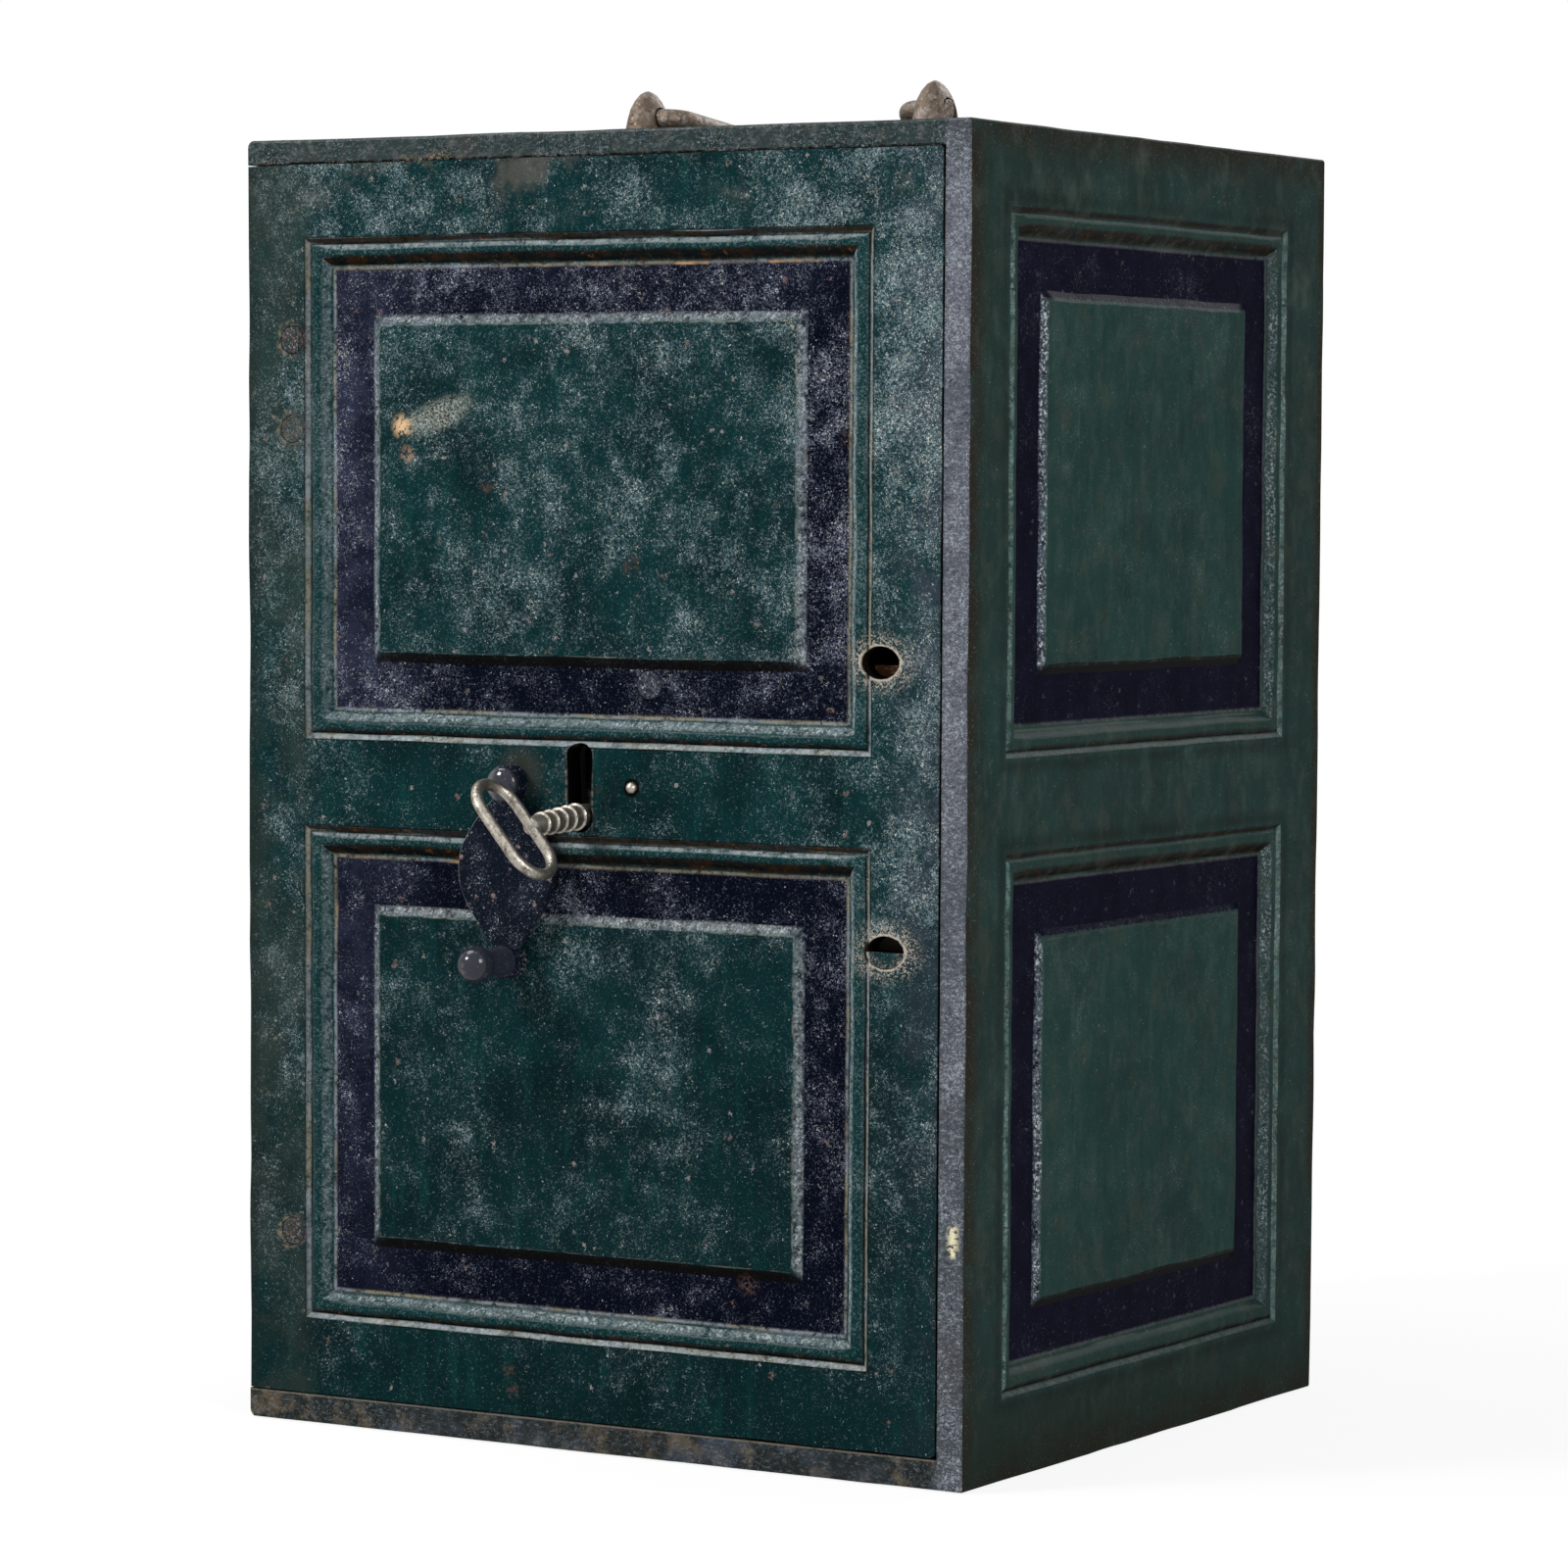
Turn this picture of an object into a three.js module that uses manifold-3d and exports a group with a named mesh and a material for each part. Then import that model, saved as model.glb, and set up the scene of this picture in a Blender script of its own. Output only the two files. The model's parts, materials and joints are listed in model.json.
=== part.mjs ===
// An old iron strongbox: a plate-iron casing with moulded panels, a door on pivot pins,
// a bolt lock with its key, a swinging keyhole cover and a carrying bail on two domed lugs.
// Millimetres. +X is the right-hand side seen from the front, -Y is the front, +Z is up,
// and the origin is the centre of the underside.
import * as THREE from "three";
import { mergeVertices } from "three/addons/utils/BufferGeometryUtils.js";
import Module from "manifold-3d";

const wasm = await Module();
wasm.setup();

// Running and seating clearances
const fit = 0.3; // between pieces that touch
const seam = 0.5; // round the edges of the door
const doorBackGap = 1.2; // between the door and what it closes against

// Casing
const width = 290;
const depth = 265;
const height = 450;
const topThick = 8.5;
const bottomThick = 10;
const rightThick = 9.5;
const leftThick = 8;
const backThick = 6;
const sideFrontMargin = 26.8; // from the front of the casing to the moulded frame of a side
const sideBackMargin = 30.2;
const sideTopMargin = 26.6;
const sideMiddleRail = 31;
const sideBottomMargin = 27.2;

// Door
const doorThick = 9;
const doorCorner = 2.5;
const stileLeft = 24.5;
const stileRight = 26;
const railTop = 25;
const railMiddle = 30;
const railBottom = 26.5;
const pivotPinRadius = 2.5;
const pivotPinReach = 11; // how far a pivot pin goes into the door

// Moulded frame round every panel, from the flat stile inwards
const quirkDrop = 1.4; // sloped step at the outer edge
const quirkWidth = 2;
const beadWidth = 9.6; // outer edge to the inner side of the rounded moulding
const beadCrest = 0.15; // how far the crest of the moulding stays below the stile
const bandDrop = 3.8; // flat band below the stile
const mouldingWidth = 11.2; // outer edge to the flat band
const fieldMargin = 30.8; // outer edge to the raised field
const fieldBevel = 3.4;
const fieldDrop = 1.9; // raised field below the stile

// Keyhole and key
const keyBelowRailCentre = 8.3; // key axis below the middle of the middle rail
const keyholeRound = 5.6;
const keyholeNeck = 4.5; // half width of the slot just above the round part
const keyholeTop = 5.4; // half width of the slot near its top
const keyholeRise = 24.9; // top of the slot above the key axis
const keyRestTurn = 45; // degrees from upright, anticlockwise, at rest
const keyShankRadius = 4.1;
const keyBowEnd = 51.7; // the bow's outer end in front of the door
const keyBowLong = 42.1;
const keyBowShort = 23.9;
const keyBowWire = 3.9;
const keyBowTurn = 5; // degrees between the bow and the bit
const keySag = 0.063; // how far the worn key hangs down for each millimetre in front of the door
const keyRings = [2.4, 7.7, 13, 18.3, 23.6]; // ridges of the shank in front of the door
const keyRingRise = 0.8;
const keyBitReach = 23.5;
const keyBitThick = 6;
const keyBitWidth = 16;
const wardWidth = 1.7;
const wardDepth = 7;

// Swinging keyhole cover
const coverPivotLeft = 26.7; // pivot to the left of the key axis
const coverPivotAboveRail = 2; // pivot above the middle of the middle rail
const coverLength = 60.6; // pivot to knob
const coverEye = 6.5;
const coverFoot = 6.2; // round boss that carries the knob
const coverHalfWidth = 19;
const coverStandOff = 5.6; // front of the leaf before the door
const coverThick = 3;
const coverScrewHead = 6.1;
const coverScrewRise = 3.8;
const coverScrewStem = 2;
const knobNeck = 4.9;
const knobBall = 6.4;
const knobCentre = 23; // middle of the ball in front of the door

// Catch pin that holds the cover over the keyhole
const catchFromPivot = 47.8;
const catchRadius = 2.1;
const catchProud = 1.9;
const catchTravel = 1.4;
const catchBoreDepth = 7.4;
const catchPinLength = 3.2; // behind the surface of the door
const catchWire = 0.5;
const catchTurns = 3;

// Oval holes and flush rivets in the door
const holeHalfWidth = 7.4;
const holeHalfHeight = 5.5;
const upperHoleFromEdge = 23; // from the right edge of the door
const upperHoleAbove = 46.3; // from the middle of the middle rail
const lowerHoleFromEdge = 20.6;
const lowerHoleBelow = 49.3;
const rivetHead = 4.9;
const rivetHeadDepth = 1.6;
const rivetStem = 2.6;
const lockRivetFromKey = 25.7;
const lockRivetAbove = 36.8;
const stileRivetFromEdge = 19.4;
const stileRivetsBelowTop = [60.4, 91.3]; // from the top of the door
const stileRivetsAboveBottom = [57];
const stileBarWidth = 20;
const stileBarThick = 5;
const stileBarMargin = 20; // from the ends of the door

// Lock
const lockPlateThick = 3;
const lockPlateLeft = 46; // from the key axis
const lockPlateAbove = 45.2; // from the middle of the middle rail
const lockPlateBelow = 57;
const lockCaseLeft = 34; // from the key axis
const lockCaseRight = 110;
const lockCaseUp = 40;
const lockCaseDown = 30.5;
const lockCaseDepth = 18;
const lockWall = 3;
const lockCoverThick = 2.4;
const lockTab = 6;
const lockTabPlaces = [-19, 91]; // from the key axis, on the upper and on the lower edge
const lockScrewStem = 2;
const lockScrewHead = 4;
const lockScrewRise = 2;
const lockScrewBite = 3;
const keyPinRadius = 2.6;
const boltThick = 8;
const boltBelow = 18.5; // lower edge of the bolt above the key axis
const boltHeight = 13.3;
const boltTail = 16; // from the key axis to the left end of the bolt
const boltTravel = 13;
const boltBehindStop = 1;
const talonDepth = 5.9;
const talonHalfWidth = 10.6;
const stumpFromKey = 56;
const stumpRadius = 2.4;
const springStrip = 0.9;

// Inside the casing
const stopWidth = 10;
const stopThick = 6;
const angleLeg = 18;
const angleThick = 3;
const backRivetRows = 5;
const backRivetMargin = 30; // from the ends of the back plate
const backRivetHead = 5;
const backRivetRise = 1.6;

// Lugs and bail
const lugHalfSpacing = 59.5;
const lugBehindCentre = -5;
const lugWide = 15.4;
const lugLong = 22.5;
const lugHigh = 22.5;
const lugStem = 4.5;
const lugBurr = 6.5;
const lugBurrThick = 2.5;
const bailRadius = 4;
const bailPivotHeight = 12;
const bailInset = 12.8; // from the middle of a lug to the middle of the arm beside it
const bailReach = 76; // pivot to the middle of the grip
const bailCorner = 17;
const bailElbow = 6.5;
const bailEndInset = 2; // pivot end inside the outer face of a lug
const bailBore = 0.6; // radial play of the bail in a lug

// Places that follow from the sizes
const front = -depth / 2;
const back = depth / 2;
const left = -width / 2;
const right = width / 2;
const doorRight = right - rightThick - seam;
const doorBottom = bottomThick + seam;
const doorTop = height - topThick - seam;
const doorBack = front + doorThick;
const doorHeight = doorTop - doorBottom;
const frontPanelWidth = doorRight - left - stileLeft - stileRight;
const frontPanelHeight = (doorHeight - railTop - railMiddle - railBottom) / 2;
const frontPanelX = left + stileLeft + frontPanelWidth / 2;
const lowerPanelTop = doorBottom + railBottom + frontPanelHeight;
const railCentre = lowerPanelTop + railMiddle / 2;
const keyX = frontPanelX;
const keyZ = railCentre - keyBelowRailCentre;
const coverX = keyX - coverPivotLeft;
const coverZ = railCentre + coverPivotAboveRail;
const pinX = left + doorThick / 2;
const pinY = front + doorThick / 2;
const innerLeft = left + leftThick;
const innerRight = right - rightThick;
const stopFace = doorBack + doorBackGap;
const wallBottom = bottomThick + fit;
const wallTop = height - topThick - fit;
const lockPlateFront = doorBack + fit;
const lockPlateBack = lockPlateFront + lockPlateThick;
const lockPlateRight = innerRight - stopWidth - 2 * doorBackGap;
const lockCaseFront = lockPlateBack + fit;
const lockCaseBack = lockCaseFront + lockCaseDepth;
const lockCoverFront = lockCaseBack + fit;
const lockCoverBack = lockCoverFront + lockCoverThick;
const boltFront = stopFace + stopThick + boltBehindStop;
const boltZ = keyZ + boltBelow;
const boltTip = innerRight - boltTravel - 1.2;
const rivetZ = railCentre + lockRivetAbove;
const rivetX = keyX + lockRivetFromKey;
const upperHole = [doorRight - upperHoleFromEdge, railCentre + upperHoleAbove];
const lowerHole = [doorRight - lowerHoleFromEdge, railCentre - lowerHoleBelow];
const catchX = coverX + catchFromPivot;
const deg = Math.PI / 180;

// Colours
const paint = (color, roughness) => ({ color, roughness, metalness: 0.2 });
const finishes = {
  green: paint(0x14302c, 0.45),
  darkGreen: paint(0x101f1e, 0.5),
  cover: paint(0x15181d, 0.4),
  steel: { color: 0x9a948a, roughness: 0.35, metalness: 1 },
  iron: { color: 0x4a4340, roughness: 0.6, metalness: 0.9 },
  bronze: { color: 0x6b5a44, roughness: 0.5, metalness: 0.9 },
  rust: { color: 0x5a3526, roughness: 0.8, metalness: 0.4 },
};

// Solids and meshes
function solidOf(geometry) {
  const bare = geometry.index ? geometry.toNonIndexed() : geometry.clone();
  bare.deleteAttribute("normal");
  bare.deleteAttribute("uv");
  const merged = mergeVertices(bare, 1e-4);
  const corners = merged.index.array;
  const kept = [];
  for (let i = 0; i < corners.length; i += 3) {
    const [a, b, c] = corners.slice(i, i + 3);
    if (a !== b && b !== c && a !== c) kept.push(a, b, c);
  }
  return new wasm.Manifold(
    new wasm.Mesh({
      numProp: 3,
      vertProperties: merged.attributes.position.array,
      triVerts: new Uint32Array(kept),
    }),
  );
}

function geometryOf(solid) {
  const mesh = solid.getMesh();
  const geometry = new THREE.BufferGeometry();
  geometry.setAttribute("position", new THREE.BufferAttribute(mesh.vertProperties, 3));
  geometry.setIndex(new THREE.BufferAttribute(mesh.triVerts, 1));
  geometry.computeVertexNormals();
  return geometry;
}

// Joins the first list of geometries and cuts the second list out of them.
function shaped(added, removed = []) {
  let solid = solidOf(added[0]);
  for (const geometry of added.slice(1)) solid = solid.add(solidOf(geometry));
  for (const geometry of removed) solid = solid.subtract(solidOf(geometry));
  return geometryOf(solid);
}

function node(name, geometry, finish) {
  const mesh = new THREE.Mesh(geometry, new THREE.MeshStandardMaterial(finishes[finish]));
  mesh.name = name;
  return mesh;
}

// A box between two corners.
function block(x0, x1, y0, y1, z0, z1) {
  const box = new THREE.BoxGeometry(x1 - x0, y1 - y0, z1 - z0);
  return box.translate((x0 + x1) / 2, (y0 + y1) / 2, (z0 + z1) / 2);
}

// A round bar along Y, X or Z between two ends.
function barY(x, z, y0, y1, radius, sides = 32) {
  return new THREE.CylinderGeometry(radius, radius, y1 - y0, sides).translate(x, (y0 + y1) / 2, z);
}

function barX(y, z, x0, x1, radius, sides = 32) {
  const bar = new THREE.CylinderGeometry(radius, radius, x1 - x0, sides).rotateZ(-90 * deg);
  return bar.translate((x0 + x1) / 2, y, z);
}

function barZ(x, y, z0, z1, radius, sides = 24) {
  const bar = new THREE.CylinderGeometry(radius, radius, z1 - z0, sides).rotateX(90 * deg);
  return bar.translate(x, y, (z0 + z1) / 2);
}

// A turned piece on an axis that points to the front: profile points are [radius, distance before y].
function turnedFront(profile, x, y, z, sides = 36) {
  const points = profile.map(([radius, ahead]) => new THREE.Vector2(radius, ahead));
  const turned = new THREE.LatheGeometry(points, sides).rotateX(180 * deg);
  return turned.translate(x, y, z);
}

// A shape drawn in X and Z, extruded from y1 forwards to y0.
function extrudeY(shape, y0, y1, curveSegments = 16) {
  const options = { depth: y1 - y0, bevelEnabled: false, curveSegments };
  return new THREE.ExtrudeGeometry(shape, options).rotateX(90 * deg).translate(0, y1, 0);
}

// A plan drawn in X and Y, extruded upwards.
function extrudeZ(shape, z0, z1, curveSegments = 16) {
  const options = { depth: z1 - z0, bevelEnabled: false, curveSegments };
  return new THREE.ExtrudeGeometry(shape, options).translate(0, 0, z0);
}

function outline(points) {
  return new THREE.Shape(points.map(([x, y]) => new THREE.Vector2(x, y)));
}

// A half-round run of profile points from one place to another, bulging outwards.
function ogee(s0, h0, s1, h1, crest, steps) {
  const points = [];
  const middle = s0 + (s1 - s0) * 0.42;
  for (let i = 1; i <= steps; i++) {
    const s = s0 + ((s1 - s0) * i) / steps;
    const rising = s < middle;
    const t = rising ? (s - s0) / (middle - s0) : (s - middle) / (s1 - middle);
    const h = rising
      ? h0 + (crest - h0) * Math.sin((t * Math.PI) / 2)
      : h1 + (crest - h1) * Math.cos((t * Math.PI) / 2);
    points.push([s, h]);
  }
  return points;
}

// What is cut away for one panel: a four-sided turning, mitred at its corners, whose profile runs
// from the flat stile over the moulding and the sunk band to the raised field. It opens towards +Y.
function panelCutter(across, up) {
  const over = 2;
  const profile = [
    [0, over],
    [0, 0],
    [quirkWidth, -quirkDrop],
    ...ogee(quirkWidth, -quirkDrop, beadWidth, -bandDrop * 0.9, -beadCrest, 10),
    [mouldingWidth, -bandDrop],
    [fieldMargin - fieldBevel, -bandDrop],
    [fieldMargin, -fieldDrop],
  ];
  const half = Math.min(across, up) / 2;
  const points = [new THREE.Vector2(0, -fieldDrop)];
  for (const [inset, rise] of profile.reverse()) {
    points.push(new THREE.Vector2((half - inset) * Math.SQRT2, rise));
  }
  points.push(new THREE.Vector2(0, over));
  const cutter = new THREE.LatheGeometry(points, 4, Math.PI / 4);
  const place = cutter.attributes.position;
  const moreAcross = across / 2 - half;
  const moreUp = up / 2 - half;
  const centreline = 1e-3;
  for (let i = 0; i < place.count; i++) {
    const x = place.getX(i);
    const z = place.getZ(i);
    if (Math.hypot(x, z) < centreline) continue;
    place.setXYZ(i, x + Math.sign(x) * moreAcross, place.getY(i), z + Math.sign(z) * moreUp);
  }
  return cutter;
}

// Casing plates
function casingTop() {
  const plate = block(left, right, front, back, height - topThick, height);
  const pinHole = barZ(pinX, pinY, height - topThick - 1, height + 1, pivotPinRadius + fit);
  const stems = [-1, 1].map((side) =>
    barZ(side * lugHalfSpacing, lugBehindCentre, height - topThick - 1, height + 1, lugStem + fit),
  );
  return node("casing_top", shaped([plate], [pinHole, ...stems]), "green");
}

function casingBottom() {
  const plate = block(left, right, front, back, 0, bottomThick);
  const pinHole = barZ(pinX, pinY, -1, bottomThick + 1, pivotPinRadius + fit);
  return node("casing_bottom", shaped([plate], [pinHole]), "green");
}

// The two panel cutters of a side, facing +Y before they are turned.
function sidePanels() {
  const across = depth - sideFrontMargin - sideBackMargin;
  const up = (height - sideTopMargin - sideMiddleRail - sideBottomMargin) / 2;
  const middle = front + sideFrontMargin + across / 2;
  const lower = sideBottomMargin + up / 2;
  const upper = height - sideTopMargin - up / 2;
  return [lower, upper].map((z) => ({ across, up, y: middle, z }));
}

function casingRightSide() {
  const plate = block(innerRight, right, front, back, wallBottom, wallTop);
  const cuts = sidePanels().map(({ across, up, y, z }) =>
    panelCutter(across, up).rotateZ(-90 * deg).translate(right, y, z),
  );
  return node("casing_right_side", shaped([plate], cuts), "darkGreen");
}

function casingLeftSide() {
  const plate = block(left, innerLeft, stopFace, back, wallBottom, wallTop);
  const cuts = sidePanels().map(({ across, up, y, z }) =>
    panelCutter(across, up).rotateZ(90 * deg).translate(left, y, z),
  );
  return node("casing_left_side", shaped([plate], cuts), "darkGreen");
}

function backRivetPlaces() {
  const places = [];
  const span = wallTop - wallBottom - 2 * backRivetMargin;
  for (const x of [innerLeft + angleLeg / 2, innerRight - angleLeg / 2]) {
    for (let i = 0; i < backRivetRows; i++) {
      places.push([x, wallBottom + backRivetMargin + (span * i) / (backRivetRows - 1)]);
    }
  }
  return places;
}

function casingBack() {
  const plate = block(innerLeft + fit, innerRight - fit, back - backThick, back, wallBottom, wallTop);
  const holes = backRivetPlaces().map(([x, z]) =>
    barY(x, z, back - backThick - 1, back + 1, rivetStem + fit, 14),
  );
  return node("casing_back", shaped([plate], holes), "darkGreen");
}

// An angle iron that stands in a rear corner; side is -1 on the left and 1 on the right.
function cornerAngle(name, side) {
  const wall = side < 0 ? innerLeft + fit : innerRight - fit;
  const y1 = back - backThick - fit;
  const reach = (length) => [Math.min(wall, wall - side * length), Math.max(wall, wall - side * length)];
  const [a0, a1] = reach(angleLeg);
  const [b0, b1] = reach(angleThick);
  const z0 = wallBottom + fit;
  const z1 = wallTop - fit;
  const alongBack = block(a0, a1, y1 - angleThick, y1, z0, z1);
  const alongSide = block(b0, b1, y1 - angleLeg, y1, z0, z1);
  const holes = backRivetPlaces()
    .filter(([x]) => Math.sign(x) === side)
    .map(([x, z]) => barY(x, z, y1 - angleThick - 1, y1 + 1, rivetStem + fit, 14));
  return node(name, shaped([alongBack, alongSide], holes), "iron");
}

// A rivet with a low domed head at its rear end and a burred tail inside.
function backRivet(name, [x, z]) {
  const tail = back - backThick - 2 * fit - angleThick;
  const profile = [
    [0, tail - 1.4],
    [rivetHead * 0.8, tail - 1.4],
    [rivetHead * 0.8, tail - fit],
    [rivetStem, tail - fit],
    [rivetStem, back + fit],
    [backRivetHead, back + fit],
    [backRivetHead * 0.75, back + fit + backRivetRise * 0.75],
    [0, back + fit + backRivetRise],
  ];
  const points = profile.map(([radius, y]) => new THREE.Vector2(radius, y));
  return node(name, new THREE.LatheGeometry(points, 10).translate(x, 0, z), "darkGreen");
}

function doorStops() {
  const y0 = stopFace;
  const y1 = stopFace + stopThick;
  const z0 = wallBottom + fit;
  const z1 = wallTop - fit;
  const x1 = innerRight - fit;
  const x0 = x1 - stopWidth;
  const acrossLeft = innerLeft + stopWidth;
  return [
    node("door_stop_right", block(x0, x1, y0, y1, z0, z1), "iron"),
    node("door_stop_top", block(acrossLeft, x0 - fit, y0, y1, z1 - stopWidth * 0.7, z1), "iron"),
    node("door_stop_bottom", block(acrossLeft, x0 - fit, y0, y1, z0, z0 + stopWidth * 0.7), "iron"),
  ];
}

function hingePins() {
  const upper = barZ(pinX, pinY, doorTop - pivotPinReach + fit, height - fit, pivotPinRadius);
  const lower = barZ(pinX, pinY, fit, doorBottom + pivotPinReach - fit, pivotPinRadius);
  return [node("hinge_pin_top", upper, "iron"), node("hinge_pin_bottom", lower, "iron")];
}

// The door: a plan with its inner left edge rounded about the pins, cut to the door's outline.
function doorPlan() {
  const plan = new THREE.Shape();
  plan.moveTo(left, front);
  plan.lineTo(doorRight, front);
  plan.lineTo(doorRight, doorBack);
  plan.lineTo(pinX, doorBack);
  plan.absarc(pinX, pinY, doorThick / 2, 90 * deg, 180 * deg, false);
  plan.closePath();
  return plan;
}

function doorOutline() {
  const shape = new THREE.Shape();
  shape.moveTo(left - 1, doorBottom);
  shape.lineTo(doorRight - doorCorner, doorBottom);
  shape.absarc(doorRight - doorCorner, doorBottom + doorCorner, doorCorner, -90 * deg, 0, false);
  shape.lineTo(doorRight, doorTop - doorCorner);
  shape.absarc(doorRight - doorCorner, doorTop - doorCorner, doorCorner, 0, 90 * deg, false);
  shape.lineTo(left - 1, doorTop);
  shape.closePath();
  return shape;
}

// The keyhole: round below for the shank, with a slot that widens to its rounded top for the bit.
function keyholeShape() {
  const shape = new THREE.Shape();
  const meet = Math.asin(keyholeNeck / keyholeRound);
  const shoulder = keyholeRise - keyholeTop * 0.75;
  shape.absarc(keyX, keyZ, keyholeRound, 90 * deg + meet, 450 * deg - meet, false);
  shape.lineTo(keyX + keyholeTop, keyZ + shoulder);
  shape.absellipse(keyX, keyZ + shoulder, keyholeTop, keyholeTop * 0.75, 0, 180 * deg, false);
  shape.closePath();
  return shape;
}

function ovalHole([x, z], play = 0) {
  const shape = new THREE.Shape();
  shape.absellipse(x, z, holeHalfWidth - play, holeHalfHeight - play, 0, 360 * deg, false);
  return shape;
}

function rivetCut(x, z, surface, through) {
  return [
    barY(x, z, surface - 1, surface + rivetHeadDepth + fit, rivetHead + fit, 20),
    barY(x, z, surface - 1, through + 1, rivetStem + fit, 18),
  ];
}

const stileRivetX = left + stileRivetFromEdge;
const stileRivetHeights = [
  ...stileRivetsBelowTop.map((drop) => doorTop - drop),
  ...stileRivetsAboveBottom.map((rise) => doorBottom + rise),
];

function doorPanel() {
  const plan = solidOf(extrudeZ(doorPlan(), doorBottom - 1, doorTop + 1, 10));
  const plate = geometryOf(plan.intersect(solidOf(extrudeY(doorOutline(), front - 1, doorBack + 1, 8))));
  const panels = [lowerPanelTop - frontPanelHeight / 2, lowerPanelTop + railMiddle + frontPanelHeight / 2];
  const cuts = panels.map((z) =>
    panelCutter(frontPanelWidth, frontPanelHeight).rotateX(180 * deg).translate(frontPanelX, front, z),
  );
  cuts.push(extrudeY(keyholeShape(), front - 1, doorBack + 1));
  for (const hole of [upperHole, lowerHole]) {
    cuts.push(extrudeY(ovalHole(hole), front - 1, doorBack + 1, 20));
  }
  for (const z of stileRivetHeights) cuts.push(...rivetCut(stileRivetX, z, front, doorBack));
  cuts.push(...rivetCut(rivetX, rivetZ, front + bandDrop, doorBack));
  cuts.push(barZ(pinX, pinY, doorTop - pivotPinReach, doorTop + 1, pivotPinRadius + fit));
  cuts.push(barZ(pinX, pinY, doorBottom - 1, doorBottom + pivotPinReach, pivotPinRadius + fit));
  cuts.push(barY(coverX, coverZ, front - 1, doorBack + 1, coverScrewStem + fit, 18));
  cuts.push(barY(catchX, coverZ, front - 1, front + catchBoreDepth, catchRadius + fit, 18));
  for (const [x, z] of lockScrewPlaces()) {
    cuts.push(barY(x, z, doorBack - lockScrewBite - fit, doorBack + 1, lockScrewStem + fit, 14));
  }
  return node("door_panel", shaped([plate], cuts), "green");
}

function hingeStileBar() {
  const x0 = innerLeft + 2 * fit;
  const y0 = doorBack + fit;
  const z0 = doorBottom + stileBarMargin;
  const z1 = doorTop - stileBarMargin;
  const bar = block(x0, x0 + stileBarWidth, y0, y0 + stileBarThick, z0, z1);
  const holes = stileRivetHeights.map((z) =>
    barY(stileRivetX, z, y0 - 1, y0 + stileBarThick + 1, rivetStem + fit, 18),
  );
  return node("hinge_stile_bar", shaped([bar], holes), "iron");
}

// A rivet with a flush head at the front and a burred tail behind y = tail.
function flushRivet(name, x, z, face, tail, finish) {
  const profile = [
    [0, tail + 1.4],
    [rivetHead * 0.8, tail + 1.4],
    [rivetHead * 0.8, tail + fit],
    [rivetStem, tail + fit],
    [rivetStem, face + rivetHeadDepth],
    [rivetHead, face + rivetHeadDepth],
    [rivetHead, face + 0.3],
    [rivetHead - 0.4, face],
    [0, face],
  ];
  const points = profile.map(([radius, y]) => new THREE.Vector2(radius, -y));
  return node(name, new THREE.LatheGeometry(points, 14).rotateX(180 * deg).translate(x, 0, z), finish);
}

function stileRivets() {
  const tail = doorBack + fit + stileBarThick;
  return stileRivetHeights.map((z, i) =>
    flushRivet(`stile_rivet_${i + 1}`, stileRivetX, z, front + 0.1, tail, "green"),
  );
}

// What is left of the plug in the lower hole: its lower half, which seats on the lock plate.
function brokenPlug() {
  const [x, z] = lowerHole;
  const whole = extrudeY(ovalHole(lowerHole, fit), front + 0.3, doorBack, 20);
  const upperHalf = block(x - holeHalfWidth, x + holeHalfWidth, front, doorBack + 1, z, z + holeHalfHeight);
  return node("broken_plug", shaped([whole], [upperHalf]), "darkGreen");
}

// Lock
function lockScrewPlaces() {
  const upper = keyZ + lockCaseUp + lockTab * 0.7;
  const lower = keyZ - lockCaseDown - lockTab * 0.7;
  return lockTabPlaces.flatMap((along) => [upper, lower].map((z) => [keyX + along, z]));
}

function lockPlate() {
  const z0 = railCentre - lockPlateBelow;
  const z1 = railCentre + lockPlateAbove;
  const plate = block(keyX - lockPlateLeft, lockPlateRight, lockPlateFront, lockPlateBack, z0, z1);
  const cuts = [extrudeY(keyholeShape(), lockPlateFront - 1, lockPlateBack + 1)];
  cuts.push(barY(rivetX, rivetZ, lockPlateFront - 1, lockPlateBack + 1, rivetStem + fit, 18));
  cuts.push(barY(coverX, coverZ, lockPlateFront - 1, lockPlateBack + 1, coverScrewStem + fit, 18));
  for (const [x, z] of lockScrewPlaces()) {
    cuts.push(barY(x, z, lockPlateFront - 1, lockPlateBack + 1, lockScrewStem + fit, 14));
  }
  return node("lock_plate", shaped([plate], cuts), "rust");
}

function lockRivet() {
  return flushRivet("lock_rivet", rivetX, rivetZ, front + bandDrop - 0.4, lockPlateBack, "cover");
}

// The outline that the case and its cover share: a rectangle with a round tab at each screw.
function lockBody(y0, y1) {
  const x0 = keyX - lockCaseLeft;
  const x1 = keyX + lockCaseRight;
  const body = block(x0, x1, y0, y1, keyZ - lockCaseDown, keyZ + lockCaseUp);
  return [body, ...lockScrewPlaces().map(([x, z]) => barY(x, z, y0, y1, lockTab, 18))];
}

function lockScrewHoles(y0, y1) {
  return lockScrewPlaces().map(([x, z]) => barY(x, z, y0 - 1, y1 + 1, lockScrewStem + fit, 14));
}

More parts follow.
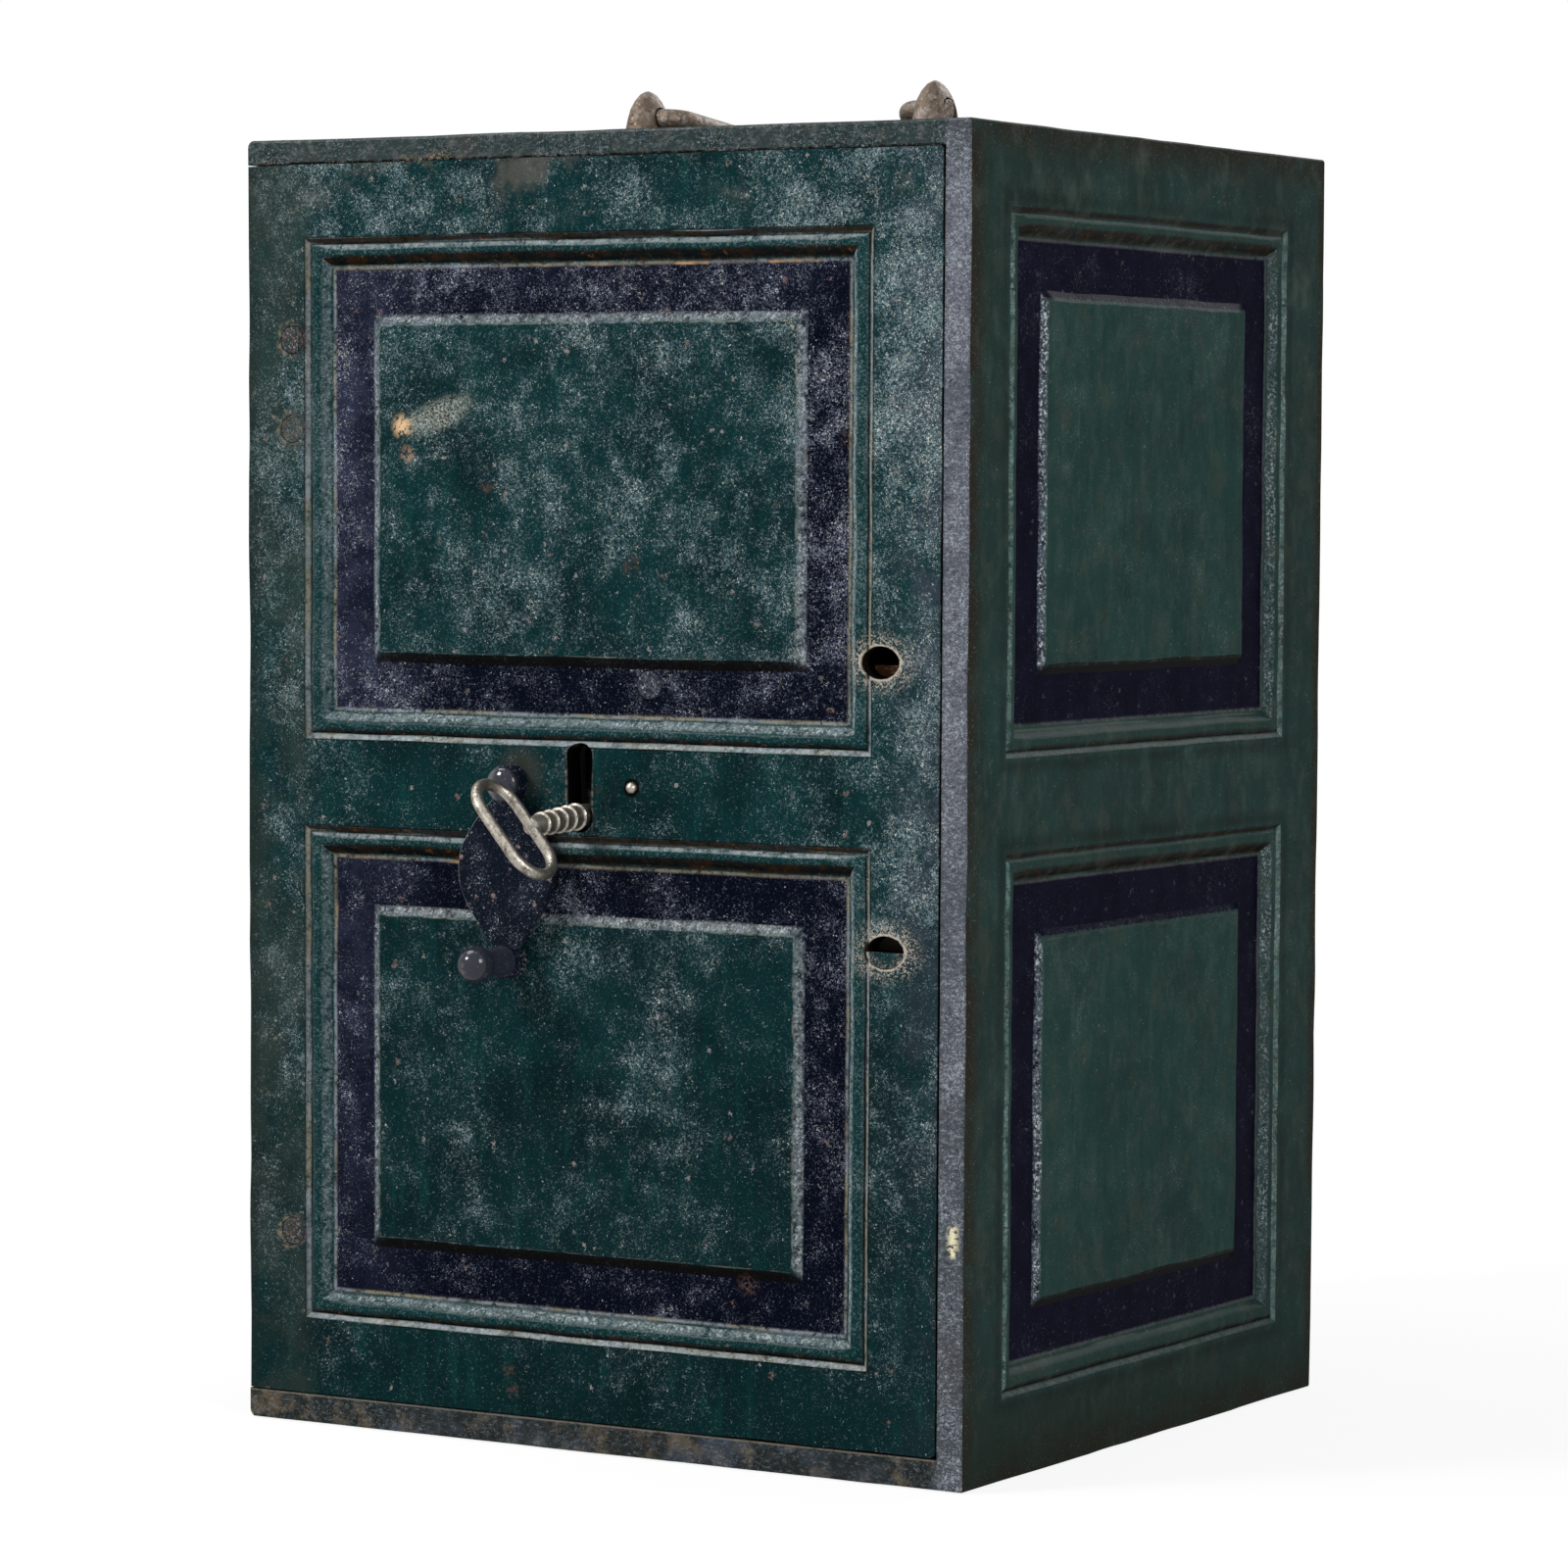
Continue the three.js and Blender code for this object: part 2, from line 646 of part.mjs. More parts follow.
function lockCase() {
  const y0 = lockCaseFront;
  const y1 = lockCaseBack;
  const hollow = block(
    keyX - lockCaseLeft + lockWall,
    keyX + lockCaseRight - lockWall,
    y0 - 1,
    y1 + 1,
    keyZ - lockCaseDown + lockWall,
    keyZ + lockCaseUp - lockWall,
  );
  const boltWay = block(
    keyX + lockCaseRight - lockWall - 1,
    keyX + lockCaseRight + 1,
    boltFront - fit,
    boltFront + boltThick + fit,
    boltZ - fit,
    boltZ + boltHeight + fit,
  );
  return node("lock_case", shaped(lockBody(y0, y1), [hollow, boltWay, ...lockScrewHoles(y0, y1)]), "iron");
}

function lockCover() {
  const y0 = lockCoverFront;
  const y1 = lockCoverBack;
  const pinHole = barY(keyX, keyZ, y0 - 1, y1 + 1, keyPinRadius + fit, 24);
  return node("lock_cover", shaped(lockBody(y0, y1), [pinHole, ...lockScrewHoles(y0, y1)]), "iron");
}

function lockScrews() {
  return lockScrewPlaces().map(([x, z], i) => {
    const head = lockCoverBack + fit;
    const profile = [
      [0, doorBack - lockScrewBite],
      [lockScrewStem, doorBack - lockScrewBite],
      [lockScrewStem, head],
      [lockScrewHead, head],
      [lockScrewHead, head + lockScrewRise * 0.5],
      [lockScrewHead * 0.6, head + lockScrewRise],
      [0, head + lockScrewRise],
    ];
    const points = profile.map(([radius, y]) => new THREE.Vector2(radius, y));
    const screw = new THREE.LatheGeometry(points, 12).translate(x, 0, z);
    const slot = block(x - lockScrewHead, x + lockScrewHead, head + 1, head + 3, z - 0.5, z + 0.5);
    return node(`lock_screw_${i + 1}`, shaped([screw], [slot]), "steel");
  });
}

// The bolt: a flat bar with the talon that the key moves it by, and a slot for the guide stump.
function bolt() {
  const y1 = boltFront + boltThick;
  const bar = block(keyX - boltTail, boltTip, boltFront, y1, boltZ, boltZ + boltHeight);
  const talonMiddle = keyX - boltTravel / 2;
  const talon = block(
    talonMiddle - talonHalfWidth,
    talonMiddle + talonHalfWidth,
    boltFront - 1,
    y1 + 1,
    boltZ - 1,
    boltZ + talonDepth,
  );
  const x = keyX + stumpFromKey;
  const z = boltZ + boltHeight / 2;
  const half = stumpRadius + fit;
  const slot = new THREE.Shape();
  slot.absarc(x, z, half, -90 * deg, 90 * deg, false);
  slot.absarc(x - boltTravel, z, half, 90 * deg, 270 * deg, false);
  slot.closePath();
  return node("bolt", shaped([bar], [talon, extrudeY(slot, boltFront - 1, y1 + 1, 10)]), "steel");
}

function guideStump() {
  const x = keyX + stumpFromKey;
  const z = boltZ + boltHeight / 2;
  return node("bolt_guide_stump", barY(x, z, lockCaseFront, lockCaseBack, stumpRadius, 24), "steel");
}

// A bowed strip between the top wall of the case and the bolt.
function boltSpring() {
  const low = boltZ + boltHeight + fit;
  const high = keyZ + lockCaseUp - lockWall - fit;
  const middle = keyX + lockCaseRight / 2;
  const half = 30;
  const rise = high - low - springStrip;
  const radius = (half * half + rise * rise) / (2 * rise);
  const sweep = Math.asin(half / radius);
  const bottom = high - radius;
  const shape = new THREE.Shape();
  shape.absarc(middle, bottom, radius, 90 * deg - sweep, 90 * deg + sweep, false);
  shape.absarc(middle, bottom, radius - springStrip, 90 * deg + sweep, 90 * deg - sweep, true);
  shape.closePath();
  return node("bolt_spring", extrudeY(shape, boltFront + 1, boltFront + boltThick - 1, 12), "steel");
}

// Key, modelled upright with its bit up on an axis that points to the front, then turned.
function keyProfile() {
  const profile = [
    [0, -(lockCoverBack - front)],
    [keyPinRadius, -(lockCoverBack - front)],
    [keyPinRadius, -(lockCaseBack - front)],
    [keyShankRadius, -(lockCaseBack - front) + 1],
    [keyShankRadius, 0.5],
  ];
  const last = keyRings[keyRings.length - 1];
  const narrow = (ahead) => keyShankRadius - 0.7 * (ahead / last);
  const ridge = keyRingRise;
  for (const ahead of keyRings) {
    profile.push([narrow(ahead - ridge), ahead - 1.5 * ridge]);
    profile.push([narrow(ahead) + ridge, ahead - ridge / 2]);
    profile.push([narrow(ahead) + ridge, ahead + ridge / 2]);
    profile.push([narrow(ahead + ridge), ahead + 1.5 * ridge]);
  }
  const bowNear = keyBowEnd - keyBowShort + keyBowWire / 2;
  profile.push([narrow(last + 2) - 0.1, bowNear - 1]);
  profile.push([0, bowNear + 0.6]);
  return profile;
}

// Lowers what is in front of the door, in step with its distance, so that the key hangs a little.
function sagged(geometry) {
  const place = geometry.attributes.position;
  const turn = keyRestTurn * deg;
  for (let i = 0; i < place.count; i++) {
    const fall = keySag * Math.max(0, -place.getY(i));
    place.setX(i, place.getX(i) - fall * Math.sin(turn));
    place.setZ(i, place.getZ(i) - fall * Math.cos(turn));
  }
  return geometry;
}

function keyBow() {
  const wire = keyBowWire / 2;
  const ring = keyBowShort / 2 - wire;
  const bow = new THREE.TorusGeometry(ring, wire, 8, 24);
  const place = bow.attributes.position;
  const stretch = (keyBowLong - keyBowShort) / 2;
  for (let i = 0; i < place.count; i++) {
    const x = place.getX(i);
    place.setX(i, x + Math.sign(Math.round(x * 1000)) * stretch);
  }
  return bow.rotateY((90 + keyBowTurn) * deg).translate(0, -(keyBowEnd - keyBowShort / 2), 0);
}

function keyBit() {
  const y0 = lockPlateBack - front + 1.2;
  const shape = outline([
    [-keyBitThick / 2 + 0.6, 0],
    [keyBitThick / 2 - 0.6, 0],
    [keyBitThick / 2, keyBitReach],
    [-keyBitThick / 2, keyBitReach],
  ]);
  return extrudeY(shape, y0, y0 + keyBitWidth, 4);
}

function keyWards() {
  const y0 = lockPlateBack - front + 1.2;
  const cut = (y) =>
    block(-keyBitThick, keyBitThick, y, y + wardWidth, keyBitReach - wardDepth, keyBitReach + 1);
  return [cut(y0 + 1.4), cut(y0 + keyBitWidth - 1.4 - wardWidth)];
}

function key() {
  const shank = turnedFront(keyProfile(), 0, 0, 0, 20);
  const whole = sagged(shaped([shank, keyBow(), keyBit()], keyWards()));
  const mesh = node("key", whole, "steel");
  mesh.position.set(keyX, front, keyZ);
  mesh.rotation.y = -keyRestTurn * deg;
  return mesh;
}

// Cover: a leaf between a pivot eye and the boss of the knob, hanging from the pivot.
function coverLeaf() {
  const side = [
    [coverEye * 0.55, -coverEye * 0.6],
    [coverHalfWidth * 0.58, -coverLength * 0.19],
    [coverHalfWidth * 0.93, -coverLength * 0.355],
    [coverHalfWidth, -coverLength * 0.49],
    [coverHalfWidth * 0.95, -coverLength * 0.6],
    [coverHalfWidth * 0.7, -coverLength * 0.74],
    [coverHalfWidth * 0.35, -coverLength * 0.89],
    [coverFoot * 0.6, -coverLength + coverFoot * 0.5],
  ].map(([x, z]) => new THREE.Vector2(x, z));
  const curve = new THREE.SplineCurve(side);
  const rightEdge = curve.getPoints(18);
  const leftEdge = rightEdge.map((p) => new THREE.Vector2(-p.x, p.y)).reverse();
  const shape = new THREE.Shape([...rightEdge, ...leftEdge]);
  return extrudeY(shape, -coverStandOff, -coverStandOff + coverThick);
}

function keyholeCover() {
  const eyeFront = -coverStandOff - 0.4;
  const eye = barY(0, 0, eyeFront, -fit, coverEye, 26);
  const foot = barY(0, -coverLength, -coverStandOff - 1, -fit, coverFoot, 26);
  const bore = barY(0, 0, eyeFront - 1, 1, coverScrewStem + fit, 18);
  const knobBore = barY(0, -coverLength, -coverStandOff - 2, 1, coverScrewStem + fit, 18);
  const mesh = node("keyhole_cover", shaped([coverLeaf(), eye, foot], [bore, knobBore]), "cover");
  mesh.position.set(coverX, front, coverZ);
  return mesh;
}

// A domed head on a stem that goes through the eye, the door and the lock plate.
function coverScrew() {
  const seat = coverStandOff + 0.4 + fit;
  const profile = [
    [0, -(lockPlateBack - front)],
    [coverScrewStem, -(lockPlateBack - front)],
    [coverScrewStem, seat],
    [coverScrewHead, seat],
    [coverScrewHead, seat + 0.9],
  ];
  const steps = 6;
  for (let i = 1; i <= steps; i++) {
    const angle = (i / steps) * 90 * deg;
    profile.push([coverScrewHead * Math.cos(angle), seat + 0.9 + (coverScrewRise - 0.9) * Math.sin(angle)]);
  }
  profile[profile.length - 1][0] = 0;
  return node("cover_pivot_screw", turnedFront(profile, coverX, front, coverZ, 22), "cover");
}

function coverKnob() {
  const seat = coverStandOff + 1 + fit;
  const profile = [
    [0, fit],
    [coverScrewStem, fit],
    [coverScrewStem, seat],
    [knobNeck * 1.12, seat],
    [knobNeck * 1.12, seat + 1.2],
    [knobNeck, seat + 2.2],
  ];
  const tuck = Math.asin((knobNeck * 0.92) / knobBall);
  profile.push([knobNeck * 0.92, knobCentre - knobBall * Math.cos(tuck)]);
  const steps = 8;
  for (let i = 1; i <= steps; i++) {
    const angle = tuck + ((Math.PI - tuck) * i) / steps;
    profile.push([knobBall * Math.sin(angle), knobCentre - knobBall * Math.cos(angle)]);
  }
  profile[profile.length - 1][0] = 0;
  return node("cover_knob", turnedFront(profile, coverX, front, coverZ - coverLength, 22), "cover");
}

function catchPin() {
  const profile = [
    [0, -catchPinLength],
    [catchRadius, -catchPinLength],
    [catchRadius, catchProud - catchRadius],
  ];
  const steps = 5;
  for (let i = 1; i <= steps; i++) {
    const angle = (i / steps) * 90 * deg;
    profile.push([catchRadius * Math.cos(angle), catchProud - catchRadius * (1 - Math.sin(angle))]);
  }
  profile[profile.length - 1][0] = 0;
  return node("catch_pin", turnedFront(profile, catchX, front, coverZ, 20), "steel");
}

// A helix of wire at the bottom of the catch pin's bore.
class Helix extends THREE.Curve {
  constructor(radius, pitch, turns) {
    super();
    Object.assign(this, { radius, pitch, turns });
  }

  getPoint(t, target = new THREE.Vector3()) {
    const angle = 2 * Math.PI * this.turns * t;
    return target.set(
      this.radius * Math.cos(angle),
      this.pitch * this.turns * t,
      this.radius * Math.sin(angle),
    );
  }
}

function catchSpring() {
  const wire = catchWire / 2;
  const room = catchBoreDepth - catchPinLength - 2 * fit - catchWire;
  const helix = new Helix(catchRadius - wire - 0.1, room / catchTurns, catchTurns);
  const section = new THREE.Shape().absarc(0, 0, wire, 0, 360 * deg, false);
  const options = { steps: 8 * catchTurns, extrudePath: helix, curveSegments: 3 };
  const coil = new THREE.ExtrudeGeometry(section, options);
  coil.translate(catchX, front + catchPinLength + fit + wire, coverZ);
  return node("catch_spring", coil, "steel");
}

// Lugs: a domed ear of oval plan on a stem that is burred over below the top plate.
function lug(name, side) {
  const rise = [
    [1, 0],
    [1, 0.1],
    [0.98, 0.3],
    [0.9, 0.52],
    [0.76, 0.72],
    [0.54, 0.88],
    [0.28, 0.97],
    [0, 1],
  ];
  const profile = [new THREE.Vector2(0, 0)];
  for (const [share, up] of rise) profile.push(new THREE.Vector2((share * lugWide) / 2, up * lugHigh));
  const dome = new THREE.LatheGeometry(profile, 22).scale(1, 1, lugLong / lugWide).rotateX(90 * deg);
  dome.translate(0, 0, fit);
  const burrTop = -topThick - fit;
  const stem = barZ(0, 0, burrTop - 1, 2, lugStem, 20);
  const burr = barZ(0, 0, burrTop - lugBurrThick, burrTop, lugBurr, 20);
  const bore = barX(0, bailPivotHeight, -lugWide, lugWide, bailRadius + bailBore, 24);
  const mesh = node(name, shaped([dome, stem, burr], [bore]), "bronze");
  mesh.position.set(side * lugHalfSpacing, lugBehindCentre, height);
  return mesh;
}

// A closed round rod along a route that stays in the X-Y plane: one ring of points at each stop.
function rodAlong(stops, radius, sides) {
  const positions = [];
  stops.forEach((stop, i) => {
    const before = stops[Math.max(i - 1, 0)];
    const after = stops[Math.min(i + 1, stops.length - 1)];
    const along = after.clone().sub(before).normalize();
    for (let k = 0; k < sides; k++) {
      const angle = (2 * Math.PI * k) / sides;
      const out = radius * Math.cos(angle);
      positions.push(stop.x - out * along.y, stop.y + out * along.x, radius * Math.sin(angle));
    }
  });
  const last = stops.length - 1;
  const ends = stops.length * sides;
  positions.push(stops[0].x, stops[0].y, 0, stops[last].x, stops[last].y, 0);
  const faces = [];
  for (let k = 0; k < sides; k++) {
    const next = (k + 1) % sides;
    for (let i = 0; i < last; i++) {
      const [a, b] = [i * sides + k, i * sides + next];
      faces.push(a, b, b + sides, a, b + sides, a + sides);
    }
    faces.push(ends, next, k, ends + 1, last * sides + k, last * sides + next);
  }
  const rod = new THREE.BufferGeometry();
  rod.setAttribute("position", new THREE.Float32BufferAttribute(positions, 3));
  rod.setIndex(faces);
  rod.computeVertexNormals();
  return rod;
}

// The bail: a round rod whose ends are turned outwards into the lugs, modelled flat towards +Y.
function bail() {
  const arm = lugHalfSpacing - bailInset;
  const end = lugHalfSpacing + lugWide / 2 - bailEndInset;
  const bend = (x, y, radius, from, to, steps) => {
    const angles = Array.from({ length: steps + 1 }, (_, i) => (from + ((to - from) * i) / steps) * deg);
    return angles.map((t) => new THREE.Vector2(x + radius * Math.cos(t), y + radius * Math.sin(t)));
  };
  const rightHalf = [
    ...bend(arm - bailCorner, bailReach - bailCorner, bailCorner, 90, 0, 7),
    ...bend(arm + bailElbow, bailElbow, bailElbow, 180, 270, 5),
    new THREE.Vector2(end, 0),
  ];
  const leftHalf = rightHalf.map((p) => new THREE.Vector2(-p.x, p.y)).reverse();
  const mesh = node("bail_handle", rodAlong([...leftHalf, ...rightHalf], bailRadius, 12), "iron");
  mesh.position.set(0, lugBehindCentre, height + bailPivotHeight);
  mesh.rotation.x = -Math.asin((bailPivotHeight - bailRadius - fit) / bailReach);
  return mesh;
}

const strongbox = new THREE.Group();
strongbox.add(casingTop(), casingBottom(), casingLeftSide(), casingRightSide(), casingBack());
strongbox.add(cornerAngle("corner_angle_left", -1), cornerAngle("corner_angle_right", 1));
backRivetPlaces().forEach((place, i) => strongbox.add(backRivet(`back_rivet_${i + 1}`, place)));
strongbox.add(...doorStops(), ...hingePins());
strongbox.add(lug("lug_left", -1), lug("lug_right", 1), bail());
strongbox.add(doorPanel(), hingeStileBar(), ...stileRivets(), brokenPlug());
strongbox.add(lockPlate(), lockRivet(), lockCase(), lockCover(), ...lockScrews());
strongbox.add(bolt(), guideStump(), boltSpring(), key());
strongbox.add(keyholeCover(), coverScrew(), coverKnob(), catchPin(), catchSpring());

export default strongbox;
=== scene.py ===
import json
import math

import bmesh
import bpy
from mathutils import Matrix, Vector, noise


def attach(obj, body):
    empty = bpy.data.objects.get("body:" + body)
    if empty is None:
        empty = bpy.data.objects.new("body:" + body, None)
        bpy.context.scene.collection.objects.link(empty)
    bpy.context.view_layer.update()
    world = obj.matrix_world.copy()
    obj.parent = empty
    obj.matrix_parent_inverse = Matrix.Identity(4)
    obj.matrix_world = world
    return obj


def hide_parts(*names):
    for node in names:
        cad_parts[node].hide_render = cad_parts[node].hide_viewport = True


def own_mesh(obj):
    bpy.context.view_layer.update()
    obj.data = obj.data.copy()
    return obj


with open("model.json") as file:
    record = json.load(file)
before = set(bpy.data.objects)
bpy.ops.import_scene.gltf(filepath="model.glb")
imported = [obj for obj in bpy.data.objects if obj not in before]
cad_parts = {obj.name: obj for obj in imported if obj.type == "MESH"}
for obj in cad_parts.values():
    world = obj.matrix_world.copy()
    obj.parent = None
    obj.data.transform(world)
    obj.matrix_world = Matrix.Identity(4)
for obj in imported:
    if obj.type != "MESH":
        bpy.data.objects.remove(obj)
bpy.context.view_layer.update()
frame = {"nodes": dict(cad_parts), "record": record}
nodes = frame["nodes"]
mm = 0.001
# Without a seed of its own the noise that lets surfaces waver would differ from run to run
noise.seed_set(5)
# Nodes that a piece stands for by now
shown = set()


def placed(name, data):
    made = bpy.data.objects.new(name, data)
    bpy.context.scene.collection.objects.link(made)
    return made


# Camera and studio

camera = {
    "place": (1.0383, -1.7389, 0.3304),
    "yaw": 30.86,
    "pitch": -4.24,
    "roll": 0.30,
    "lens": 129.4,
    "shift": (-0.0044, 0.0769),
}


def addCamera(c):
    yaw, pitch, roll = (math.radians(c[k]) for k in ("yaw", "pitch", "roll"))
    ahead = Vector((-math.sin(yaw) * math.cos(pitch), math.cos(yaw) * math.cos(pitch), math.sin(pitch)))
    level = Vector((math.cos(yaw), math.sin(yaw), 0))
    raised = level.cross(ahead)
    across = level * math.cos(roll) + raised * math.sin(roll)
    up = raised * math.cos(roll) - level * math.sin(roll)
    data = bpy.data.cameras.new("camera")
    data.lens, data.sensor_width = c["lens"], 36
    data.shift_x, data.shift_y = c["shift"]
    made = placed("camera", data)
    turn = Matrix((across, up, -ahead)).transposed().to_4x4()
    made.matrix_world = Matrix.Translation(c["place"]) @ turn
    bpy.context.scene.camera = made


lamps = {
    "keyLeft": {"place": (-1.25, -1.75, 1.55), "size": 0.5, "power": 49, "colour": (1, 0.99, 0.97)},
    "rightSide": {"place": (2.1, -1.1, 1.3), "size": 0.9, "power": 33, "colour": (0.98, 0.99, 1)},
    "above": {"place": (-0.75, -0.35, 1.75), "size": 0.8, "power": 14, "colour": (1, 1, 1)},
    "behind": {"place": (0.4, 1.9, 1.5), "size": 1.1, "power": 26, "colour": (1, 1, 1)},
}


def addLamps(settings):
    target = Vector((0, 0, 0.22))
    for name, lamp in settings.items():
        data = bpy.data.lights.new(name, "AREA")
        data.shape, data.size, data.energy, data.color = "SQUARE", lamp["size"], lamp["power"], lamp["colour"]
        made = placed(name, data)
        made.location = lamp["place"]
        made.rotation_euler = (target - made.location).to_track_quat("-Z", "Y").to_euler()


# One output of a shader, so that sums and products can be written as such


class Wire:
    def __init__(self, tree, socket):
        self.tree = tree
        self.socket = socket

    def node(self, kind, inputs=None, output=0, **settings):
        made = self.tree.nodes.new(kind)
        for name, value in settings.items():
            setattr(made, name, value)
        for name, given in (inputs or {}).items():
            if isinstance(given, Wire):
                self.tree.links.new(given.socket, made.inputs[name])
            else:
                made.inputs[name].default_value = given
        return Wire(self.tree, made.outputs[output])

    def maths(self, operation, first, second=0.0):
        return self.node("ShaderNodeMath", {0: first, 1: second}, operation=operation)

    def __add__(self, other):
        return self.maths("ADD", self, other)

    def __sub__(self, other):
        return self.maths("SUBTRACT", self, other)

    def __rsub__(self, other):
        return self.maths("SUBTRACT", other, self)

    def __mul__(self, other):
        return self.maths("MULTIPLY", self, other)

    def __truediv__(self, other):
        return self.maths("DIVIDE", self, other)

    def __neg__(self):
        return self.maths("MULTIPLY", self, -1.0)

    def __abs__(self):
        return self.maths("ABSOLUTE", self)

    def __pow__(self, other):
        return self.maths("POWER", self, other)

    __radd__ = __add__
    __rmul__ = __mul__

    def most(self, other):
        return self.maths("MAXIMUM", self, other)

    def step(self, low, high, to=(0.0, 1.0)):
        inputs = {"Value": self, "From Min": low, "From Max": high, "To Min": to[0], "To Max": to[1]}
        return self.node("ShaderNodeMapRange", inputs, interpolation_type="SMOOTHSTEP")

    def near(self, middle, reach):
        return abs(self - middle).step(reach, 0.0)


def hexColour(code):
    parts = [int(code[i : i + 2], 16) / 255 for i in (0, 2, 4)]
    return tuple(p / 12.92 if p <= 0.04045 else ((p + 0.055) / 1.055) ** 2.4 for p in parts) + (1.0,)


def paintOf(colour):
    return hexColour(colour) if isinstance(colour, str) else colour


# A material under way: its colour, roughness and metallic so far, and coordinates in millimetres


class Finish:
    def __init__(self, name, colour, roughness, metallic=0.0):
        self.material = bpy.data.materials.new(name)
        self.material.use_nodes = True
        self.tree = self.material.node_tree
        self.shader = self.tree.nodes["Principled BSDF"]
        coords = self.tree.nodes.new("ShaderNodeTexCoord")
        metres = Wire(self.tree, coords.outputs["Object"])
        self.place = metres.node("ShaderNodeVectorMath", {0: metres, "Scale": 1 / mm}, operation="SCALE")
        self.facing = Wire(self.tree, coords.outputs["Normal"])
        self.x, self.y, self.z = self.parts(self.place)
        self.colour = hexColour(colour)
        self.roughness = roughness
        self.metallic = metallic

    def parts(self, vector):
        return [vector.node("ShaderNodeSeparateXYZ", {0: vector}, output=i) for i in range(3)]

    def stretched(self, x, y, z):
        scale = (x, y, z)
        return self.place.node("ShaderNodeVectorMath", {0: self.place, 1: scale}, operation="MULTIPLY")

    def noise(self, scale, detail=3, rough=0.55, place=None, twist=0.0):
        inputs = {"Vector": place or self.place, "Scale": scale, "Detail": detail}
        inputs |= {"Roughness": rough, "Distortion": twist}
        return self.place.node("ShaderNodeTexNoise", inputs, output="Fac")

    def cells(self, scale, output="Distance"):
        inputs = {"Vector": self.place, "Scale": scale, "Randomness": 1.0}
        return self.place.node("ShaderNodeTexVoronoi", inputs, output=output)

    # Small irregular flecks: one in each of a share of the cells
    def dots(self, scale, size, share):
        chosen = self.parts(self.cells(scale, "Color"))[0].step(1 - share, 1 - share + 0.02)
        ragged = self.cells(scale) + (self.noise(scale * 5, 3.0, 0.7) - 0.5) * size * 4.5
        return ragged.step(size, size * 0.7) * chosen

    def mixed(self, mask, first, second):
        inputs = {0: mask, 6: paintOf(first), 7: paintOf(second)}
        return self.place.node("ShaderNodeMix", inputs, output=2, data_type="RGBA")

    # Lays a colour, and a roughness and metallic where given, over what is there, as far as the mask says
    def cover(self, mask, colour, roughness=None, metallic=None):
        inputs = {0: mask, 6: self.colour, 7: paintOf(colour)}
        self.colour = self.place.node("ShaderNodeMix", inputs, output=2, data_type="RGBA")
        if roughness is not None:
            self.roughness = self.between(mask, self.roughness, roughness)
        if metallic is not None:
            self.metallic = self.between(mask, self.metallic, metallic)

    def between(self, mask, low, high):
        return self.place.node("ShaderNodeMix", {0: mask, 2: low, 3: high}, output=0, data_type="FLOAT")

    def distance(self, x, z):
        return ((self.x - x) ** 2 + (self.z - z) ** 2) ** 0.5

    def spot(self, x, z, radius, soft):
        return self.distance(x, z).step(radius + soft, radius - soft)

    def done(self, bumps=(), coat=0.0, specular=0.5, coatRoughness=0.25):
        varying = {"Base Color": self.colour, "Roughness": self.roughness, "Metallic": self.metallic}
        for name, given in varying.items():
            if isinstance(given, Wire):
                self.tree.links.new(given.socket, self.shader.inputs[name])
            else:
                self.shader.inputs[name].default_value = given
        self.shader.inputs["Coat Weight"].default_value = coat
        self.shader.inputs["Coat Roughness"].default_value = coatRoughness
        self.shader.inputs["Specular IOR Level"].default_value = specular
        normal = None
        for height, strength, reach in bumps:
            inputs = {"Height": height, "Strength": strength, "Distance": reach}
            if normal:
                inputs["Normal"] = normal
            normal = self.place.node("ShaderNodeBump", inputs)
        if normal:
            self.tree.links.new(normal.socket, self.shader.inputs["Normal"])
        return self.material


# Sizes of the casing, in millimetres, as the frame has them

casing = {
    "width": 290,
    "depth": 265,
    "height": 450,
    "top": 8.5,
    "bottom": 10,
    "right": 9.5,
    "left": 8,
    "gap": 10.2,
    "worn": 1.1,
    "corner": 2.6,
    "recessCorner": 2.8,
}
doorFace = -132.5
hingePin = {"x": -140.5, "y": -128, "radius": 2.8}
lugPlace = (59.5, -5)
frontPanels = {"middle": -5.75, "centres": (124.25, 328.75), "across": 229.5, "up": 174.5}
sidePanels = {"middle": -1.7, "centres": (118.5, 332.1), "across": 208, "up": 182.6}
moulding = {
    "edge": 2.0,
    "edgeDrop": 1.4,
    "bead": 9.6,
    "crest": 0.2,
    "foot": 11.2,
    "band": 3.8,
    "bevel": 3.4,
    "field": 30.8,
    "fieldDrop": 1.9,
    "steps": 9,
}
keyhole = {"x": -5.75, "z": 218.2, "round": 5.6, "neck": 4.5, "top": 5.4, "rise": 24.9}
ovalHoles = {"upper": (112.0, 272.8), "lower": (114.4, 177.2)}
holeHalf = (7.4, 5.5)
stileRivets = [(-125.6, 380.6), (-125.6, 349.7), (-125.6, 67.5)]
rustSpots = [(-34, 25.5, 2.2), (-32, 19, 2.4), (60, 62, 3.2)]
rustSpots += [(14, 303, 3.0), (98, 346, 2.4), (-45, 330, 2.2)]
lockRivet = (19.95, 263.3)
coverPivot = (-32.45, 228.5)
catchPin = (15.35, 228.5)


# Finishes


def panelInset(f, across, p):
    insets = []
    for centre in p["centres"]:
        u = abs(across - p["middle"]) - p["across"] / 2
        v = abs(f.z - centre) - p["up"] / 2
        insets.append(-u.most(v))
    return insets[0].most(insets[1])


